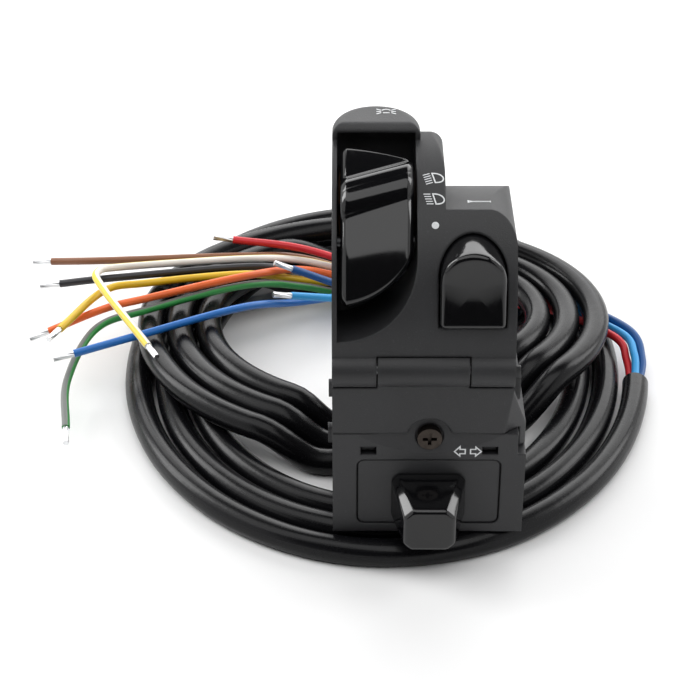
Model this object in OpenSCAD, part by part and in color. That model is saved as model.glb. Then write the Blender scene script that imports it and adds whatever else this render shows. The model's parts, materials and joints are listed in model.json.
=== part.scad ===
// Left handlebar switch cluster: a hinged two-shell bar clamp with a light rocker, a horn button and a
// turn-signal slide, standing on its own two coiled cables.
// Frame: origin on the handlebar's axis, +X along the bar, the rider on the -Y side, +Z up.

/* [Handlebar clamp] */
// Diameter of the handlebar that the shells close on
bar_d = 22.2; // [20:0.1:24]
// Wall between the bar and the switch spaces
bar_wall = 2.4; // [1.8:0.1:2.8]
// Gap between the two shells when they are closed
split_gap = 0.4; // [0.3:0.1:0.8]
// Distance from the bar's middle to the flat left face
left_reach = 21; // [20:0.5:24]
// Distance from the bar's axis to the front face
front_reach = 24; // [23:0.5:27]
// Distance from the bar's axis to the back face
back_reach = 22; // [22:0.5:26]

/* [Upper shell] */
// Width of the upper shell along the bar
upper_w = 40.5; // [39:0.5:46]
// Height of the light switch's tower above the bar's axis
tower_h = 42; // [41:0.5:46]
// Radius of the curved front
front_r = 39; // [37:0.5:42]
// Radius of the tower's rounded back edge
back_r = 8.5; // [6:0.5:14]
// Height of the dome above the tower
dome_rise = 3.1; // [2.6:0.1:4]
// Rounding of the dome's upper edge
dome_edge = 2.4; // [0.8:0.1:2.6]
// Height of the horn block above the bar's axis
horn_h = 34; // [33:0.5:36]
// Rounding of the horn block's outer corner
horn_corner = 6; // [3:0.5:7]
// Radius of the horn block's round back
horn_back_r = 26; // [20:0.5:27]
// Radius of the legend strip's top corner
strip_corner = 3.2; // [1:0.1:5]
// Outer left wall of the rocker pocket
left_wall = 1.1; // [0.9:0.1:2]
// General wall of the shells and the turn housing
wall = 2; // [1.6:0.1:2.4]

/* [Hinge] */
// Radius of the hinge knuckles
knuckle_r = 4; // [3.4:0.1:4.4]
// Radius of the hinge pin
pin_r = 1.25; // [0.8:0.05:1.6]
// Length of each of the upper shell's knuckles
knuckle_len = 9.8; // [8:0.1:12]
// How far the hinge axis lies behind the front face
hinge_inset = 1.5; // [1:0.1:2]
// How far the hinge axis lies above the split
hinge_rise = 1.5; // [0:0.1:2]

/* [Light rocker] */
// Width of the rocker pocket
pocket_w = 17.6; // [17:0.1:19]
// Width of the legend strip beside it
strip_w = 6.3; // [6:0.1:8]
// Gap between the rocker and each side of its pocket
rocker_gap = 0.8; // [0.5:0.1:1.2]
// Radius of the rocker's pivot pin
pivot_r = 1.5; // [1:0.1:2]
// Radius of the rocker's hub round that pin
hub_r = 3; // [2.6:0.1:3.4]
// Thickness of the rocker's wings
wing_t = 2.6; // [2:0.1:3.2]

/* [Horn button] */
// Width of the button
horn_btn_w = 14.4; // [12:0.1:15]
// Height of the button
horn_btn_h = 17.4; // [15:0.1:17.6]
// Travel of the button
horn_travel = 3; // [2:0.1:3.5]
// Gap round the button
horn_gap = 0.35; // [0.3:0.05:0.6]

/* [Turn housing] */
// Distance from the bar's axis down to the seam
seam_drop = 15; // [15:0.5:17]
// Distance from the bar's axis down to the base
base_drop = 43; // [42:0.5:48]
// Distance from the bar's axis to the housing's back
housing_back = 18; // [17:0.5:20]
// How far the lower half stands out past the upper shell on the right
flare = 3.5; // [2:0.1:5]
// Width of the face plate
plate_w = 32.4; // [31:0.1:35]
// Height of the face plate
plate_h = 17.8; // [17:0.1:18.4]
// Rounding of the face plate's corners
plate_corner = 1.6; // [0.5:0.1:4]
// Width of the knob at the face plate
knob_w = 17; // [14:0.1:18]
// Width of the knob's front
knob_tip_w = 11.6; // [9:0.1:13]
// Height of the knob
knob_h = 11; // [9:0.1:12]
// How far the knob stands out
knob_reach = 11; // [8:0.1:14]
// Travel of the knob to either side
turn_travel = 4; // [3:0.1:5]

/* [Fasteners] */
// Radius of the clamp screw's shank
clamp_r = 1.95; // [1.5:0.05:2.2]
// Radius of the clamp screw's head
clamp_head_r = 3.5; // [3:0.1:3.8]
// Radius of the housing screws' shank
screw_r = 1.45; // [1.2:0.05:1.6]
// Radius of the housing screws' head
screw_head_r = 2.8; // [2.4:0.1:3]

/* [Cables] */
// Diameter of both sleeved cables
cable_d = 7; // [6.4:0.1:7.2]
// Diameter of each wire
wire_d = 2.1; // [1.6:0.1:2.1]
// Length of the tinned wire ends
tip_len = 5.5; // [4:0.5:8]

/* [Hidden] */
$fn = 48;

// Clearances: between parts that move, between parts that seat, round a running pin
move_gap = 0.3;
seat_gap = 0.05;
run_gap = 0.05;
// How far a cutting shape runs past what it cuts
over = 1;
// A height below everything
nowhere = -1000;

// Places along the bar
x_left = -left_reach;
x_right = x_left + upper_w;
x_flare = x_right + flare;
pocket_x0 = x_left + left_wall;
pocket_x1 = pocket_x0 + pocket_w;
strip_x = pocket_x1 + strip_w;
turn_x = (x_left + x_flare) / 2;

// The bar and the curved front
bar_r = bar_d / 2;
ring_r = bar_r + bar_wall;
arc_y = front_r - front_reach;
arc_z = tower_h - front_r;
half_gap = split_gap / 2;

// Hinge
hinge_y = hinge_inset - front_reach;
knuckle_x0 = x_left + knuckle_len;
knuckle_x1 = x_right - knuckle_len;

// Rocker pocket: straight above, a quarter round below, and the spaces behind it
pocket_low = arc_z + 6;
pocket_mid = pocket_low + pocket_w;
visor_y = 9.6;
visor_t = 1.6;
visor_nose = 2.6;
light_board_t = 1.4;
light_board_y = back_reach - 6.4;
pocket_back = light_board_y - 2.2;
light_seat_y = light_board_y + light_board_t + seat_gap;
light_back_y = light_seat_y + 1.5;
light_space_top = tower_h - 9;
light_space_low = ring_r + 0.3;
rocker_space_y = -8;
seat_w = 2.2;
dome_x = (pocket_x0 + pocket_x1) / 2;
dome_r = pocket_w / 2 + left_wall;
dome_y = back_reach - dome_r - 0.1;

// Rocker: pivot, wings, thumb roll and tail
pivot_y = 4;
pivot_z = ring_r + 5;
rocker_x0 = pocket_x0 + rocker_gap;
rocker_x1 = pocket_x1 - rocker_gap;
rocker_w = rocker_x1 - rocker_x0;
rocker_round = 20;
wing_r = front_r - 0.7;
wing_a0 = 19.6;
wing_a1 = 78.5;
wing_slope = 4;
roll_r = 6.1;
roll_in = 3.3;
roll_a0 = 56.2;
roll_a1 = 63.9;
// A point on the front's arc, at a radius and an angle up from level, in Y and Z
function at_arc(r, a) = [arc_y - r * cos(a), arc_z + r * sin(a)];
wing_low = at_arc(wing_r, wing_a0);
wing_high = at_arc(wing_r, wing_a1);
roll_left = at_arc(wing_r - roll_in, roll_a0);
roll_right = at_arc(wing_r - roll_in, roll_a1);
roll_rise = roll_right - roll_left;
ball_r = 1.5;
tail_end = light_board_y - 2 * ball_r + 0.7;
tail_h = 4.6;
bridge_in = 6;
bridge_h = 4;
pivot_in = 2.8;
tail_x0 = rocker_x0 + 2;
tail_x1 = rocker_x1 - 2.4;
rocker_ball_x = tail_x0 + 3;
ball_bore_r = ball_r + run_gap;
rocker_ball_y = light_board_y - move_gap - ball_r;
rocker_bore_y = pivot_y + hub_r + 0.4;
spring_wire = 0.4;

// Horn button: a D with its arch up, sliding along Y in a sleeve
horn_x = x_right - horn_btn_w / 2 - 2.5;
horn_roof = 3.6;
horn_low = horn_h - horn_roof - horn_gap - horn_btn_h;
horn_arch_z = horn_low + horn_btn_h - horn_btn_w / 2;
horn_front = 0.6 - front_reach;
horn_skin = 2;
horn_rear = -8.2;
horn_lip = 0.8;
horn_sleeve_y = horn_rear - 1.5;
horn_board_t = 1.4;
horn_board_y = -3.2;
horn_seat_y = horn_board_y + horn_board_t + seat_gap;
horn_space_x0 = horn_x - horn_btn_w / 2 - horn_lip - 0.5;
horn_space_x1 = x_right - 1.4;
horn_space_top = horn_h - horn_roof + 0.1;
horn_space_low = ring_r + 0.3;
horn_space_back = 8;
horn_space_corner = horn_corner - 1.4;
horn_post_r = 1.8;
horn_contact_t = 0.6;
horn_post_end = horn_board_y - horn_travel - horn_contact_t - 0.4;
horn_spring_r = 3;
horn_mid_z = horn_low + horn_btn_h / 2;

// Boards and the screws that hold them
board_gap = 0.2;
board_screw_r = 0.6;
board_screw_head_r = 0.95;
board_screw_len = 2.6;
terminal_pitch = 3;
terminal_drop = 5;
terminal_len = 3.5;
terminal_h = 3;
terminal_w = 1.2;
bridge_t = 0.6;
board_screw_in = board_screw_head_r + board_gap;

// Rear clamp screw
clamp_x = pocket_x1 + clamp_head_r + 1.2;
clamp_y = back_reach - 4.6;
clamp_seat = 8;
clamp_depth = 7;
clamp_head_h = 2.6;
clamp_swing = 0.75;
clamp_channel = clamp_head_r + 0.4;
insert_r = clamp_r + clamp_swing + 0.9;

// Turn housing, face plate, knob and slider
housing_top = -seam_drop - 0.2;
housing_low = -base_drop;
plate_front = 0.3 - front_reach;
plate_seat = wall - front_reach;
plate_gap = 0.3;
plate_low = housing_low + 2.6;
knob_z = plate_low + plate_h / 2 - 2.9;
lug_z = -seam_drop - 1.2;
lug_r = 5;
lug_seat = 3 - front_reach;
head_seat = 1.4 - front_reach;
window_w = 3.6;
window_h = 2.2;
window_x = plate_w / 2 - 2.4;
window_z = -seam_drop - 4.8;
tab_front = 1.5 - front_reach;
// The scallop below the seam: part of a large ball, and the circle where it leaves the front face
scallop_ball = 150;
scallop_r = 29.4;
scallop_z = -seam_drop - 5.4 + scallop_r;
scallop_out = sqrt(scallop_ball * scallop_ball - scallop_r * scallop_r);
flange_t = 1;
flange_w = 1;
slider_front = wall + flange_t + 0.4 - front_reach;
slider_w = 16;
slider_h = 10.4;
rail_gap = 0.1;
rail_t = 1;
rail_w = 26;
tongue_w = 5;
tongue_h = 4;
tongue_depth = 5;
turn_board_y = -12.2;
turn_board_t = 1.6;
slider_back = turn_board_y - 1;
turn_ball_x = turn_x - 4;
turn_ball_y = turn_board_y - move_gap - ball_r;
turn_bore_y = slider_front + 1.4;
knob_back = plate_front - 0.4;
knob_cut = 1.4;
knob_tip_cut = 2.2;
knob_low_cut = 1.7;
hollow_x = 12;
hollow_w = 13;
screw_len = 11;
boss_len = 10;
boss_w = 8.8;
cheek_t = 1.6;
cheek_gap = 0.3;
cheek_low = -seam_drop - 5.5;
flare_top = -4;
cheek_cut = 5.2;
cheek_cut_y = 4.2;

// Cables: the floor, a sleeved cable's height above it with its lowest tenth cut flat
floor_z = housing_low - 0.3 - 6.3;
rest_z = floor_z + 0.4 * cable_d;
gland_len = 14;
gland_r = cable_d / 2 + 0.65;
gland_collar = 1.5;
main_gland = [13, back_reach, -7.6];
turn_gland = [-7, housing_back, -34];
coil_sides = 6;
coil_step = 15;
coil_pitch = 7.8;

// Turn-signal cable: flat loops that widen counter-clockwise up to the sleeve's end
turn_mid = [-9, 55];
turn_outer = [68, 84];
turn_from = 30;
turn_to = 1072;
function turn_at(a) =
    let (shrink = coil_pitch * (turn_to - a) / 360, r = turn_outer - [shrink, shrink])
    [turn_mid.x + r.x * cos(a), turn_mid.y + r.y * sin(a), rest_z];

// Main cable: loops that narrow counter-clockwise and climb over the other cable at both sides
main_mid = [-9, 62.5];
main_outer = [60, 48];
main_from = 75;
main_to = 1165;
lift_left = 7.4;
lift_right = 10;
// How much further the loops reach at the front left, and where that starts and ends across their width
front_swell = 9;
swell_span = [-0.5, 0.5];
function smooth(low, high, v) =
    let (t = min(1, max(0, (v - low) / (high - low))))
    t * t * (3 - 2 * t);
// Where a loop climbs, as shares of its half width: at the back, late at the back, front right, front left
climb_back = [0.15, 0.5];
climb_late = [0.45, 0.75];
climb_right = [0.52, 0.8];
climb_left = [0.25, 0.5];
function climb(a) = sin(a) > 0 ? (a > 720 ? climb_late : climb_back) : cos(a) > 0 ? climb_right : climb_left;
function main_lift(a) =
    a < 180 ? lift_left + (lift_right - lift_left) * smooth(0, 0.5, cos(a))
    : smooth(climb(a)[0], climb(a)[1], abs(cos(a))) * (cos(a) > 0 ? lift_right : lift_left);
function main_at(a) =
    let (
        shrink = coil_pitch * (a - 270) / 360,
        swell = sin(a) < 0 ? front_swell * smooth(swell_span[0], swell_span[1], -cos(a)) : 0,
        r = main_outer - [shrink, shrink - swell]
    )
    [main_mid.x + r.x * cos(a), main_mid.y + r.y * sin(a), rest_z + main_lift(a)];

function steps(from, to) = concat([for (a = [from : coil_step : to - 1]) a], [to]);
turn_coil = [for (a = steps(turn_from, turn_to)) turn_at(a)];
main_coil = [for (a = steps(main_from, main_to)) main_at(a)];
main_start = unit(main_at(main_from + 2) - main_at(main_from - 2));
turn_start = unit(turn_at(turn_from + 2) - turn_at(turn_from - 2));
turn_end = turn_at(turn_to);
main_end = main_at(main_to);

// Leads from the glands to the coils
turn_lead = [
    turn_gland + [0, gland_len, 0], turn_gland + [0.5, gland_len + cable_d, -0.6],
    [-3, 46, -38.5], [4, 55, -43], [16, 65.5, -46.6], [28, 77, rest_z], turn_at(turn_from)
];
main_lead = [
    main_gland + [0, gland_len, 0], main_gland + [0.2, gland_len + cable_d, -0.4], [14.5, 55, -11],
    [17.5, 72, -18], [20.5, 88, -23.5], [20.5, 98, -27.5], [17, 105.2, -31], main_at(main_from)
];

// The wires' places in the sleeves' ends: six round one in the main cable, three in the other
bundle_rise = 0.3;
function main_seat(i) =
    main_end + [0, 0, bundle_rise] + (i < 0 ? [0, 0, 0] : wire_d * [0, cos(60 * i), sin(60 * i)]);
function turn_seat(i) = turn_end + wire_d / sqrt(3) * [sin(120 * i), 0, cos(120 * i)];
brown_route = [
    main_seat(0), [-16, 94.4, -43], [-31, 95, -38.5], [-46, 89, -34.4], [-84, 86.5, -34.4], [-101, 89.5, -36.5]
];
white_route = [
    main_seat(1), [-16, 91.9, -41.4], [-31, 92, -37.6], [-46, 86, -33.6], [-79, 80, -32.6], [-86, 74.5, -31],
    [-83.5, 65, -30.6], [-69, 38, -31.6]
];
black_route = [
    main_seat(5), [-16, 92.9, -46], [-31, 89.4, -39.6], [-46, 82.5, -34.1], [-83, 76.8, -34.4], [-97, 76.5, -36]
];
yellow_route = [
    main_seat(-1), [-16, 90.5, -44.8], [-31, 86.4, -40.6], [-46, 79, -34.4], [-73, 74, -34.3], [-84, 69, -33.8],
    [-93.5, 50, -34]
];
orange_route = [
    main_seat(2), [-16, 89.4, -42.3], [-31, 86.6, -37.4], [-46, 73.6, -31.9], [-71, 62.5, -32],
    [-83, 61.5, -34.8], [-98, 58.4, -40]
];
green_route = [
    main_seat(4), [-16, 87.6, -46.6], [-31, 83.6, -41], [-46, 73.2, -34.5], [-71, 60.5, -34.4],
    [-85, 56, -37.8], [-90.5, 37, -41.5], [-89, 20, -44.5]
];
blue_route = [
    main_seat(3), [-16, 84.8, -44.6], [-32, 74, -40.5], [-46, 61.5, -34.4], [-71, 48, -34.2], [-89, 42, -36.5]
];
red_route = [
    turn_seat(2), [57, 52, -45], [54, 59, -41.9], [36, 73.4, -41.8], [16, 76.8, -41.8], [-8, 86.5, -38.6],
    [-30, 93, -34.4], [-50, 93, -31.4]
];
light_blue_route = [
    turn_seat(0), [58.9, 52, -43.2], [56, 61, -41.9], [38, 76, -41.8], [27, 77.6, -41.8], [14, 79, -44.6],
    [-14, 77, -41.5], [-33, 70, -35.9]
];
turn_blue_route = [
    turn_seat(1), [61.2, 52.5, -44.8], [58.2, 63, -41.9], [40.4, 78.6, -41.8], [26, 80, -41.9], [10, 81.4, -45],
    [-14, 83.5, -42.4], [-33, 80.5, -33.6]
];
main_routes = [brown_route, white_route, black_route, yellow_route, orange_route, green_route, blue_route];
turn_routes = [red_route, light_blue_route, turn_blue_route];

// Sweeps: rings of points square to a route, joined by triangles
function unit(v) = v / norm(v);
function heading(route, i) =
    unit(route[min(i + 1, len(route) - 1)] - route[max(i - 1, 0)]);
function ring(at, along, axis, r, sides, low) =
    let (side = unit(cross(along, axis)), up = cross(side, along), turn = sides == 6 ? 0 : 180 / sides)
    [for (j = [0 : sides - 1])
        let (p = at + r * (cos(turn + 360 * j / sides) * side + sin(turn + 360 * j / sides) * up))
        [p.x, p.y, max(p.z, low)]];
function finish_of(route) = unit(route[len(route) - 1] - route[len(route) - 2]);

module sweep(route, r, sides, axis = [0, 0, 1], first = undef, last = undef, low = nowhere) {
    n = len(route);
    points = [
        for (i = [0 : n - 1])
            let (given = i == 0 ? first : i == n - 1 ? last : undef)
            each ring(route[i], given == undef ? heading(route, i) : given, axis, r, sides, low)
    ];
    walls = [
        for (i = [0 : n - 2], j = [0 : sides - 1])
            let (k = (j + 1) % sides, a = i * sides)
            each [[a + j, a + sides + j, a + sides + k], [a + j, a + sides + k, a + k]]
    ];
    caps = [
        for (j = [1 : sides - 2])
            each [[0, j, j + 1], [(n - 1) * sides, (n - 1) * sides + j + 1, (n - 1) * sides + j]]
    ];
    polyhedron(points, concat(walls, caps));
}

// A coil spring along +Y from a place, with the radius of its wire's middle
module spring_y(at, length, mid_r, turns) {
    n = turns * 8;
    rise = length - spring_wire;
    sweep(
        [
            for (i = [0 : n])
                at + [mid_r * cos(45 * i), spring_wire / 2 + rise * i / n, mid_r * sin(45 * i)]
        ],
        spring_wire / 2, 6, axis = [0, 1, 0]
    );
}

// Least distance between the loops of a coil, less the cable's own thickness
function least_gap(route) =
    let (half = 180 / coil_step, n = len(route))
    min([for (i = [0 : n - half - 1], j = [i + half : n - 1]) norm(route[i] - route[j])]) - cable_d;
echo(str("turn cable coil, least gap to itself: ", least_gap(turn_coil), " mm"));
echo(str("main cable coil, least gap to itself: ", least_gap(main_coil), " mm"));

// Plain shapes
module block(x0, x1, y0, y1, z0, z1) {
    translate([x0, y0, z0]) cube([x1 - x0, y1 - y0, z1 - z0]);
}
module rod_x(x0, x1, y, z, r) {
    translate([x0, y, z]) rotate([0, 90, 0]) cylinder(r = r, h = x1 - x0);
}
module rod_y(y0, y1, x, z, r) {
    translate([x, y0, z]) rotate([-90, 0, 0]) cylinder(r = r, h = y1 - y0);
}
module rod_z(z0, z1, x, y, r) {
    translate([x, y, z0]) cylinder(r = r, h = z1 - z0);
}
// An upright outline in X and Z, carried from y0 to y1
module upright(y0, y1) {
    translate([0, y1, 0]) rotate([90, 0, 0]) linear_extrude(y1 - y0) children();
}
// A side outline in Y and Z, carried from x0 to x1
module sideways(x0, x1) {
    translate([x0, 0, 0]) rotate([90, 0, 90]) linear_extrude(x1 - x0) children();
}
// A cross recess at the origin, sunk along +Y
module cross_recess(size, depth) {
    for (a = [0, 90]) rotate([0, a, 0]) block(-size / 2, size / 2, -over, depth, -size / 8, size / 8);
}

// Upper shell
module rounded_side(x0, x1, top, r) {
    difference() {
        block(x0, x1, -front_reach, back_reach, half_gap, top);
        difference() {
            block(x0 - over, x1 + over, back_reach - r, back_reach + over, top - r, top + over);
            rod_x(x0 - 2 * over, x1 + 2 * over, back_reach - r, top - r, r);
        }
    }
}
// What rounds a top right corner off, all along Y
module corner_cut(x, top, r) {
    upright(-front_reach - over, back_reach + over) translate([x - r, top - r]) difference() {
        square(r + over);
        circle(r);
    }
}
module dome() {
    top = tower_h + dome_rise;
    low = light_space_top;
    nose_y = visor_y + visor_nose;
    translate([dome_x, dome_y, low]) rotate_extrude(angle = 180) dome_half(top - low);
    difference() {
        translate([dome_x, dome_y, low]) rotate([90, 0, 0]) linear_extrude(dome_y - visor_y) {
            dome_half(top - low);
            mirror([1, 0]) dome_half(top - low);
        }
        // the visor's round nose
        difference() {
            block(x_left - over, strip_x, visor_y - over, nose_y, top - visor_nose, top + over);
            rod_x(x_left - 2 * over, strip_x + over, nose_y, top - visor_nose, visor_nose);
        }
    }
}
module dome_half(h) {
    square([dome_r - dome_edge, h]);
    square([dome_r, h - dome_edge]);
    translate([dome_r - dome_edge, h - dome_edge]) circle(dome_edge);
}
module pocket_outline() {
    translate([pocket_x0, pocket_mid]) square([pocket_w, tower_h]);
    intersection() {
        translate([pocket_x0, pocket_low]) square([pocket_w, pocket_w + over]);
        translate([pocket_x0, pocket_mid]) circle(pocket_w);
    }
}
module rocker_space() {
    difference() {
        union() {
            upright(-front_reach - over, visor_y) pocket_outline();
            intersection() {
                upright(visor_y - over, pocket_back) pocket_outline();
                block(pocket_x0, pocket_x1, 0, pocket_back, 0, tower_h + dome_rise - visor_t);
            }
            block(pocket_x0, pocket_x1, rocker_space_y, light_seat_y, light_space_low, light_space_top);
            block(
                pocket_x0 + seat_w, pocket_x1 - seat_w, light_seat_y - over, light_back_y,
                light_space_low, light_space_top
            );
        }
        rod_x(x_left, x_right, 0, 0, ring_r);
    }
}
module horn_outline(grow) {
    r = horn_btn_w / 2 + grow;
    translate([horn_x, horn_arch_z]) circle(r);
    translate([horn_x - r, horn_low - grow]) square([2 * r, horn_arch_z - horn_low + grow]);
}
module horn_space() {
    upright(-front_reach - over, horn_sleeve_y + over) horn_outline(horn_gap);
    difference() {
        block(horn_space_x0, horn_space_x1, horn_sleeve_y, horn_seat_y, horn_space_low, horn_space_top);
        corner_cut(horn_space_x1, horn_space_top, horn_space_corner);
    }
    block(
        horn_space_x0 + seat_w, horn_space_x1 - seat_w, horn_seat_y - over, horn_space_back,
        horn_space_low, horn_space_top - seat_w
    );
    upright(horn_sleeve_y, -ring_r / 3) horn_outline(horn_gap);
}
module upper_shell() color("#1d1d1f") difference() {
    union() {
        intersection() {
            union() {
                difference() {
                    rounded_side(x_left, strip_x, tower_h, back_r);
                    corner_cut(strip_x, tower_h, strip_corner);
                }
                difference() {
                    rounded_side(strip_x - over, x_right, horn_h, horn_back_r);
                    corner_cut(x_right, horn_h, horn_corner);
                }
            }
            rod_x(x_left - over, x_right + over, arc_y, arc_z, front_r);
        }
        dome();
        for (x = [x_left, knuckle_x1]) rod_x(x, x + knuckle_len, hinge_y, hinge_rise, knuckle_r);
    }
    rod_x(x_left - over, x_right + over, 0, 0, bar_r);
    rocker_space();
    horn_space();
    // room for the lower shell's knuckle, and the hinge pin's bores
    rod_x(knuckle_x0, knuckle_x1, hinge_y, hinge_rise, knuckle_r + move_gap);
    rod_x(x_left - over, x_right + over, hinge_y, hinge_rise, pin_r + run_gap);
    // pivot pin of the rocker
    rod_x(x_left - over, pocket_x1 + pivot_in + board_gap, pivot_y, pivot_z, pivot_r);
    // rear channel and hole of the clamp screw
    block(
        clamp_x - clamp_channel, clamp_x + clamp_channel, clamp_y - clamp_channel, back_reach + over,
        clamp_seat, tower_h + over
    );
    rod_z(-over, clamp_seat + over, clamp_x, clamp_y, clamp_r + 0.2);
    // the boards go in from the bar's side
    block(pocket_x0 + 2, pocket_x1 - 2, -bar_r / 2, bar_r / 2, 0, light_space_low + over);
    block(horn_space_x0 + 2, horn_space_x1 - 2, -bar_r / 2, bar_r / 2, 0, horn_space_low + over);
    board_screw_places() rod_y(0, board_screw_len, 0, 0, board_screw_r);
}

// Lower shell
// What bevels the flared cheek's front corner: a wedge that starts as a point above and ends at the seam,
// and the same bevel down the skirt below the seam
module cheek_bevel() {
    corner = [
        [x_flare - cheek_cut, -front_reach], [x_flare, cheek_cut_y - front_reach],
        [x_flare + cheek_cut, -front_reach - cheek_cut]
    ];
    polyhedron(
        [
            [x_right, -front_reach, flare_top + 0.5],
            for (p = corner) [p.x, p.y, -seam_drop]
        ],
        [[1, 2, 3], [0, 2, 1], [0, 3, 2], [0, 1, 3]]
    );
    translate([0, 0, cheek_low - over]) linear_extrude(over - seam_drop - cheek_low) polygon(corner);
}
module lower_shell() color("#1d1d1f") difference() {
    union() {
        block(x_left, x_right, -front_reach, back_reach, -seam_drop, -half_gap);
        rod_x(knuckle_x0 + move_gap, knuckle_x1 - move_gap, hinge_y, hinge_rise, knuckle_r);
        upright(-front_reach, housing_back) polygon([
            [x_right - over, flare_top], [x_right, flare_top], [x_flare, -seam_drop], [x_flare, cheek_low],
            [x_flare - cheek_t, cheek_low], [x_flare - cheek_t, -seam_drop], [x_right - over, -seam_drop]
        ]);
        for (y = [lug_seat + 2, housing_back - wall - boss_len - board_gap])
            block(
                turn_x - boss_w / 2, turn_x + boss_w / 2, y, y + boss_len, lug_z - boss_w / 2, over - seam_drop
            );
        // small rounded side lugs
        hull() for (z = [-7, -2.5]) rod_x(x_right - over, x_right + 1.8, hinge_y + 4, z, 2);
        hull() for (z = [-7.5, -5]) rod_x(x_left - 0.8, x_left + over, hinge_y + 4, z, 1);
    }
    rod_x(x_left - over, x_right, 0, 0, bar_r);
    rod_x(x_right - seat_gap, x_flare + over, 0, 0, bar_r + 1.4);
    cheek_bevel();
    // room for the upper shell's knuckles, and the hinge pin's bore
    rod_x(x_left - over, knuckle_x0 + move_gap, hinge_y, hinge_rise, knuckle_r + move_gap);
    rod_x(knuckle_x1 - move_gap, x_right + 2 * over, hinge_y, hinge_rise, knuckle_r + move_gap);
    rod_x(x_left - over, x_right + over, hinge_y, hinge_rise, pin_r);
    // seat of the threaded insert, with room below for the screw's tip
    rod_z(-clamp_depth - 1.5, over, clamp_x, clamp_y, insert_r);
    // seats of the housing's lug, of the two housing screws and of the cable gland
    rod_y(-front_reach - over, lug_seat + 0.2, turn_x, lug_z, lug_r + 0.2);
    rod_y(-front_reach, housing_back, turn_x, lug_z, screw_r + run_gap);
    rod_y(housing_back - over, back_reach + over, turn_x, lug_z, screw_head_r + 0.4);
    rod_y(ring_r + 1, back_reach + over, main_gland.x, main_gland.z, gland_r);
    // hollows between the front wall and the bar
    for (side = [-1, 1]) translate([turn_x + side * hollow_x, 0, 0])
        block(
            -hollow_w / 2, hollow_w / 2, wall - front_reach + 3, -ring_r, -seam_drop - over, -knuckle_r - wall
        );
}

// Turn housing
module plate_outline(grow) {
    r = plate_corner + grow;
    dx = plate_w / 2 - plate_corner;
    translate([turn_x, plate_low]) {
        translate([-dx - r, plate_corner]) square([2 * (dx + r), plate_h - 2 * plate_corner]);
        translate([-dx, -grow]) square([2 * dx, plate_h + 2 * grow]);
        for (x = [-dx, dx], z = [plate_corner, plate_h - plate_corner]) translate([x, z]) circle(r);
    }
}
module turn_housing() color("#202022") difference() {
    union() {
        difference() {
            block(x_left, x_flare, -front_reach, housing_back, housing_low, housing_top);
            block(
                x_left + wall, x_flare - wall - cheek_t, plate_seat, housing_back - wall,
                housing_low + wall, housing_top + over
            );
            block(
                x_left + wall, x_flare - wall, plate_seat, housing_back - wall,
                housing_low + wall, cheek_low - wall
            );
            // the lower shell's cheek hangs outside here
            block(
                x_flare - cheek_t - cheek_gap, x_flare + over, -front_reach - over, housing_back + over,
                cheek_low - cheek_gap, housing_top + over
            );
        }
        // front lug, and the ledges that hold the contact board
        rod_y(-front_reach, lug_seat, turn_x, lug_z, lug_r);
        for (x = [x_left + wall - 0.5, x_flare - wall - 2]) block(
            x, x + 2.5, turn_board_y + turn_board_t + seat_gap, turn_board_y + turn_board_t + 3,
            housing_low + wall - 0.5, cheek_low - wall - 0.2
        );
        hull() for (z = [-seam_drop - 5, -seam_drop - 2.2])
            rod_x(x_left - 1, x_left + over, hinge_y + 4, z, 1.2);
    }
    // the opening of the face plate and the two snap windows
    upright(-front_reach - over, plate_seat + over) plate_outline(plate_gap);
    for (side = [-1, 1]) translate([turn_x + side * window_x, 0, window_z])
        block(-window_w / 2, window_w / 2, -front_reach - over, plate_seat + over, -window_h / 2, window_h / 2);
    // the screws' holes and the front head's recess
    rod_y(-front_reach - over, housing_back + over, turn_x, lug_z, screw_r + 0.15);
    rod_y(-front_reach - over, head_seat, turn_x, lug_z, screw_head_r + 0.4);
    translate([turn_x, -front_reach - scallop_out, scallop_z]) sphere(scallop_ball);
    // the cable gland
    rod_y(housing_back - wall - over, housing_back + over, turn_gland.x, turn_gland.z, gland_r);
}

// Fasteners and pins
module hinge_pin() color("#8d8f93") rod_x(x_left + 0.3, x_right - 0.3, hinge_y, hinge_rise, pin_r);
module clamp_screw() color("#6f7277") difference() {
    union() {
        rod_z(-clamp_depth, clamp_seat + seat_gap, clamp_x, clamp_y, clamp_r);
        rod_z(clamp_seat, clamp_seat + clamp_head_h, clamp_x, clamp_y, clamp_head_r);
    }
    translate([clamp_x, clamp_y, clamp_seat + clamp_head_h]) rotate([-90, 0, 0])
        cross_recess(clamp_head_r, 1.4);
}
module clamp_insert() color("#b08d4a") difference() {
    rod_z(-clamp_depth - 1, -half_gap - 0.3, clamp_x, clamp_y, insert_r);
    rod_z(-clamp_depth - 2, over, clamp_x, clamp_y, clamp_r + clamp_swing);
}
module housing_screw() {
    difference() {
        union() {
            rod_y(-2, 0, 0, 0, screw_head_r);
            rod_y(-seat_gap, screw_len, 0, 0, screw_r);
        }
        translate([0, -2, 0]) cross_recess(screw_head_r * 1.15, 1.1);
    }
}
module housing_screws() color("#3a3836") {
    translate([turn_x, head_seat, lug_z]) housing_screw();
    translate([turn_x, housing_back, lug_z]) rotate([0, 0, 180]) housing_screw();
}

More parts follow.
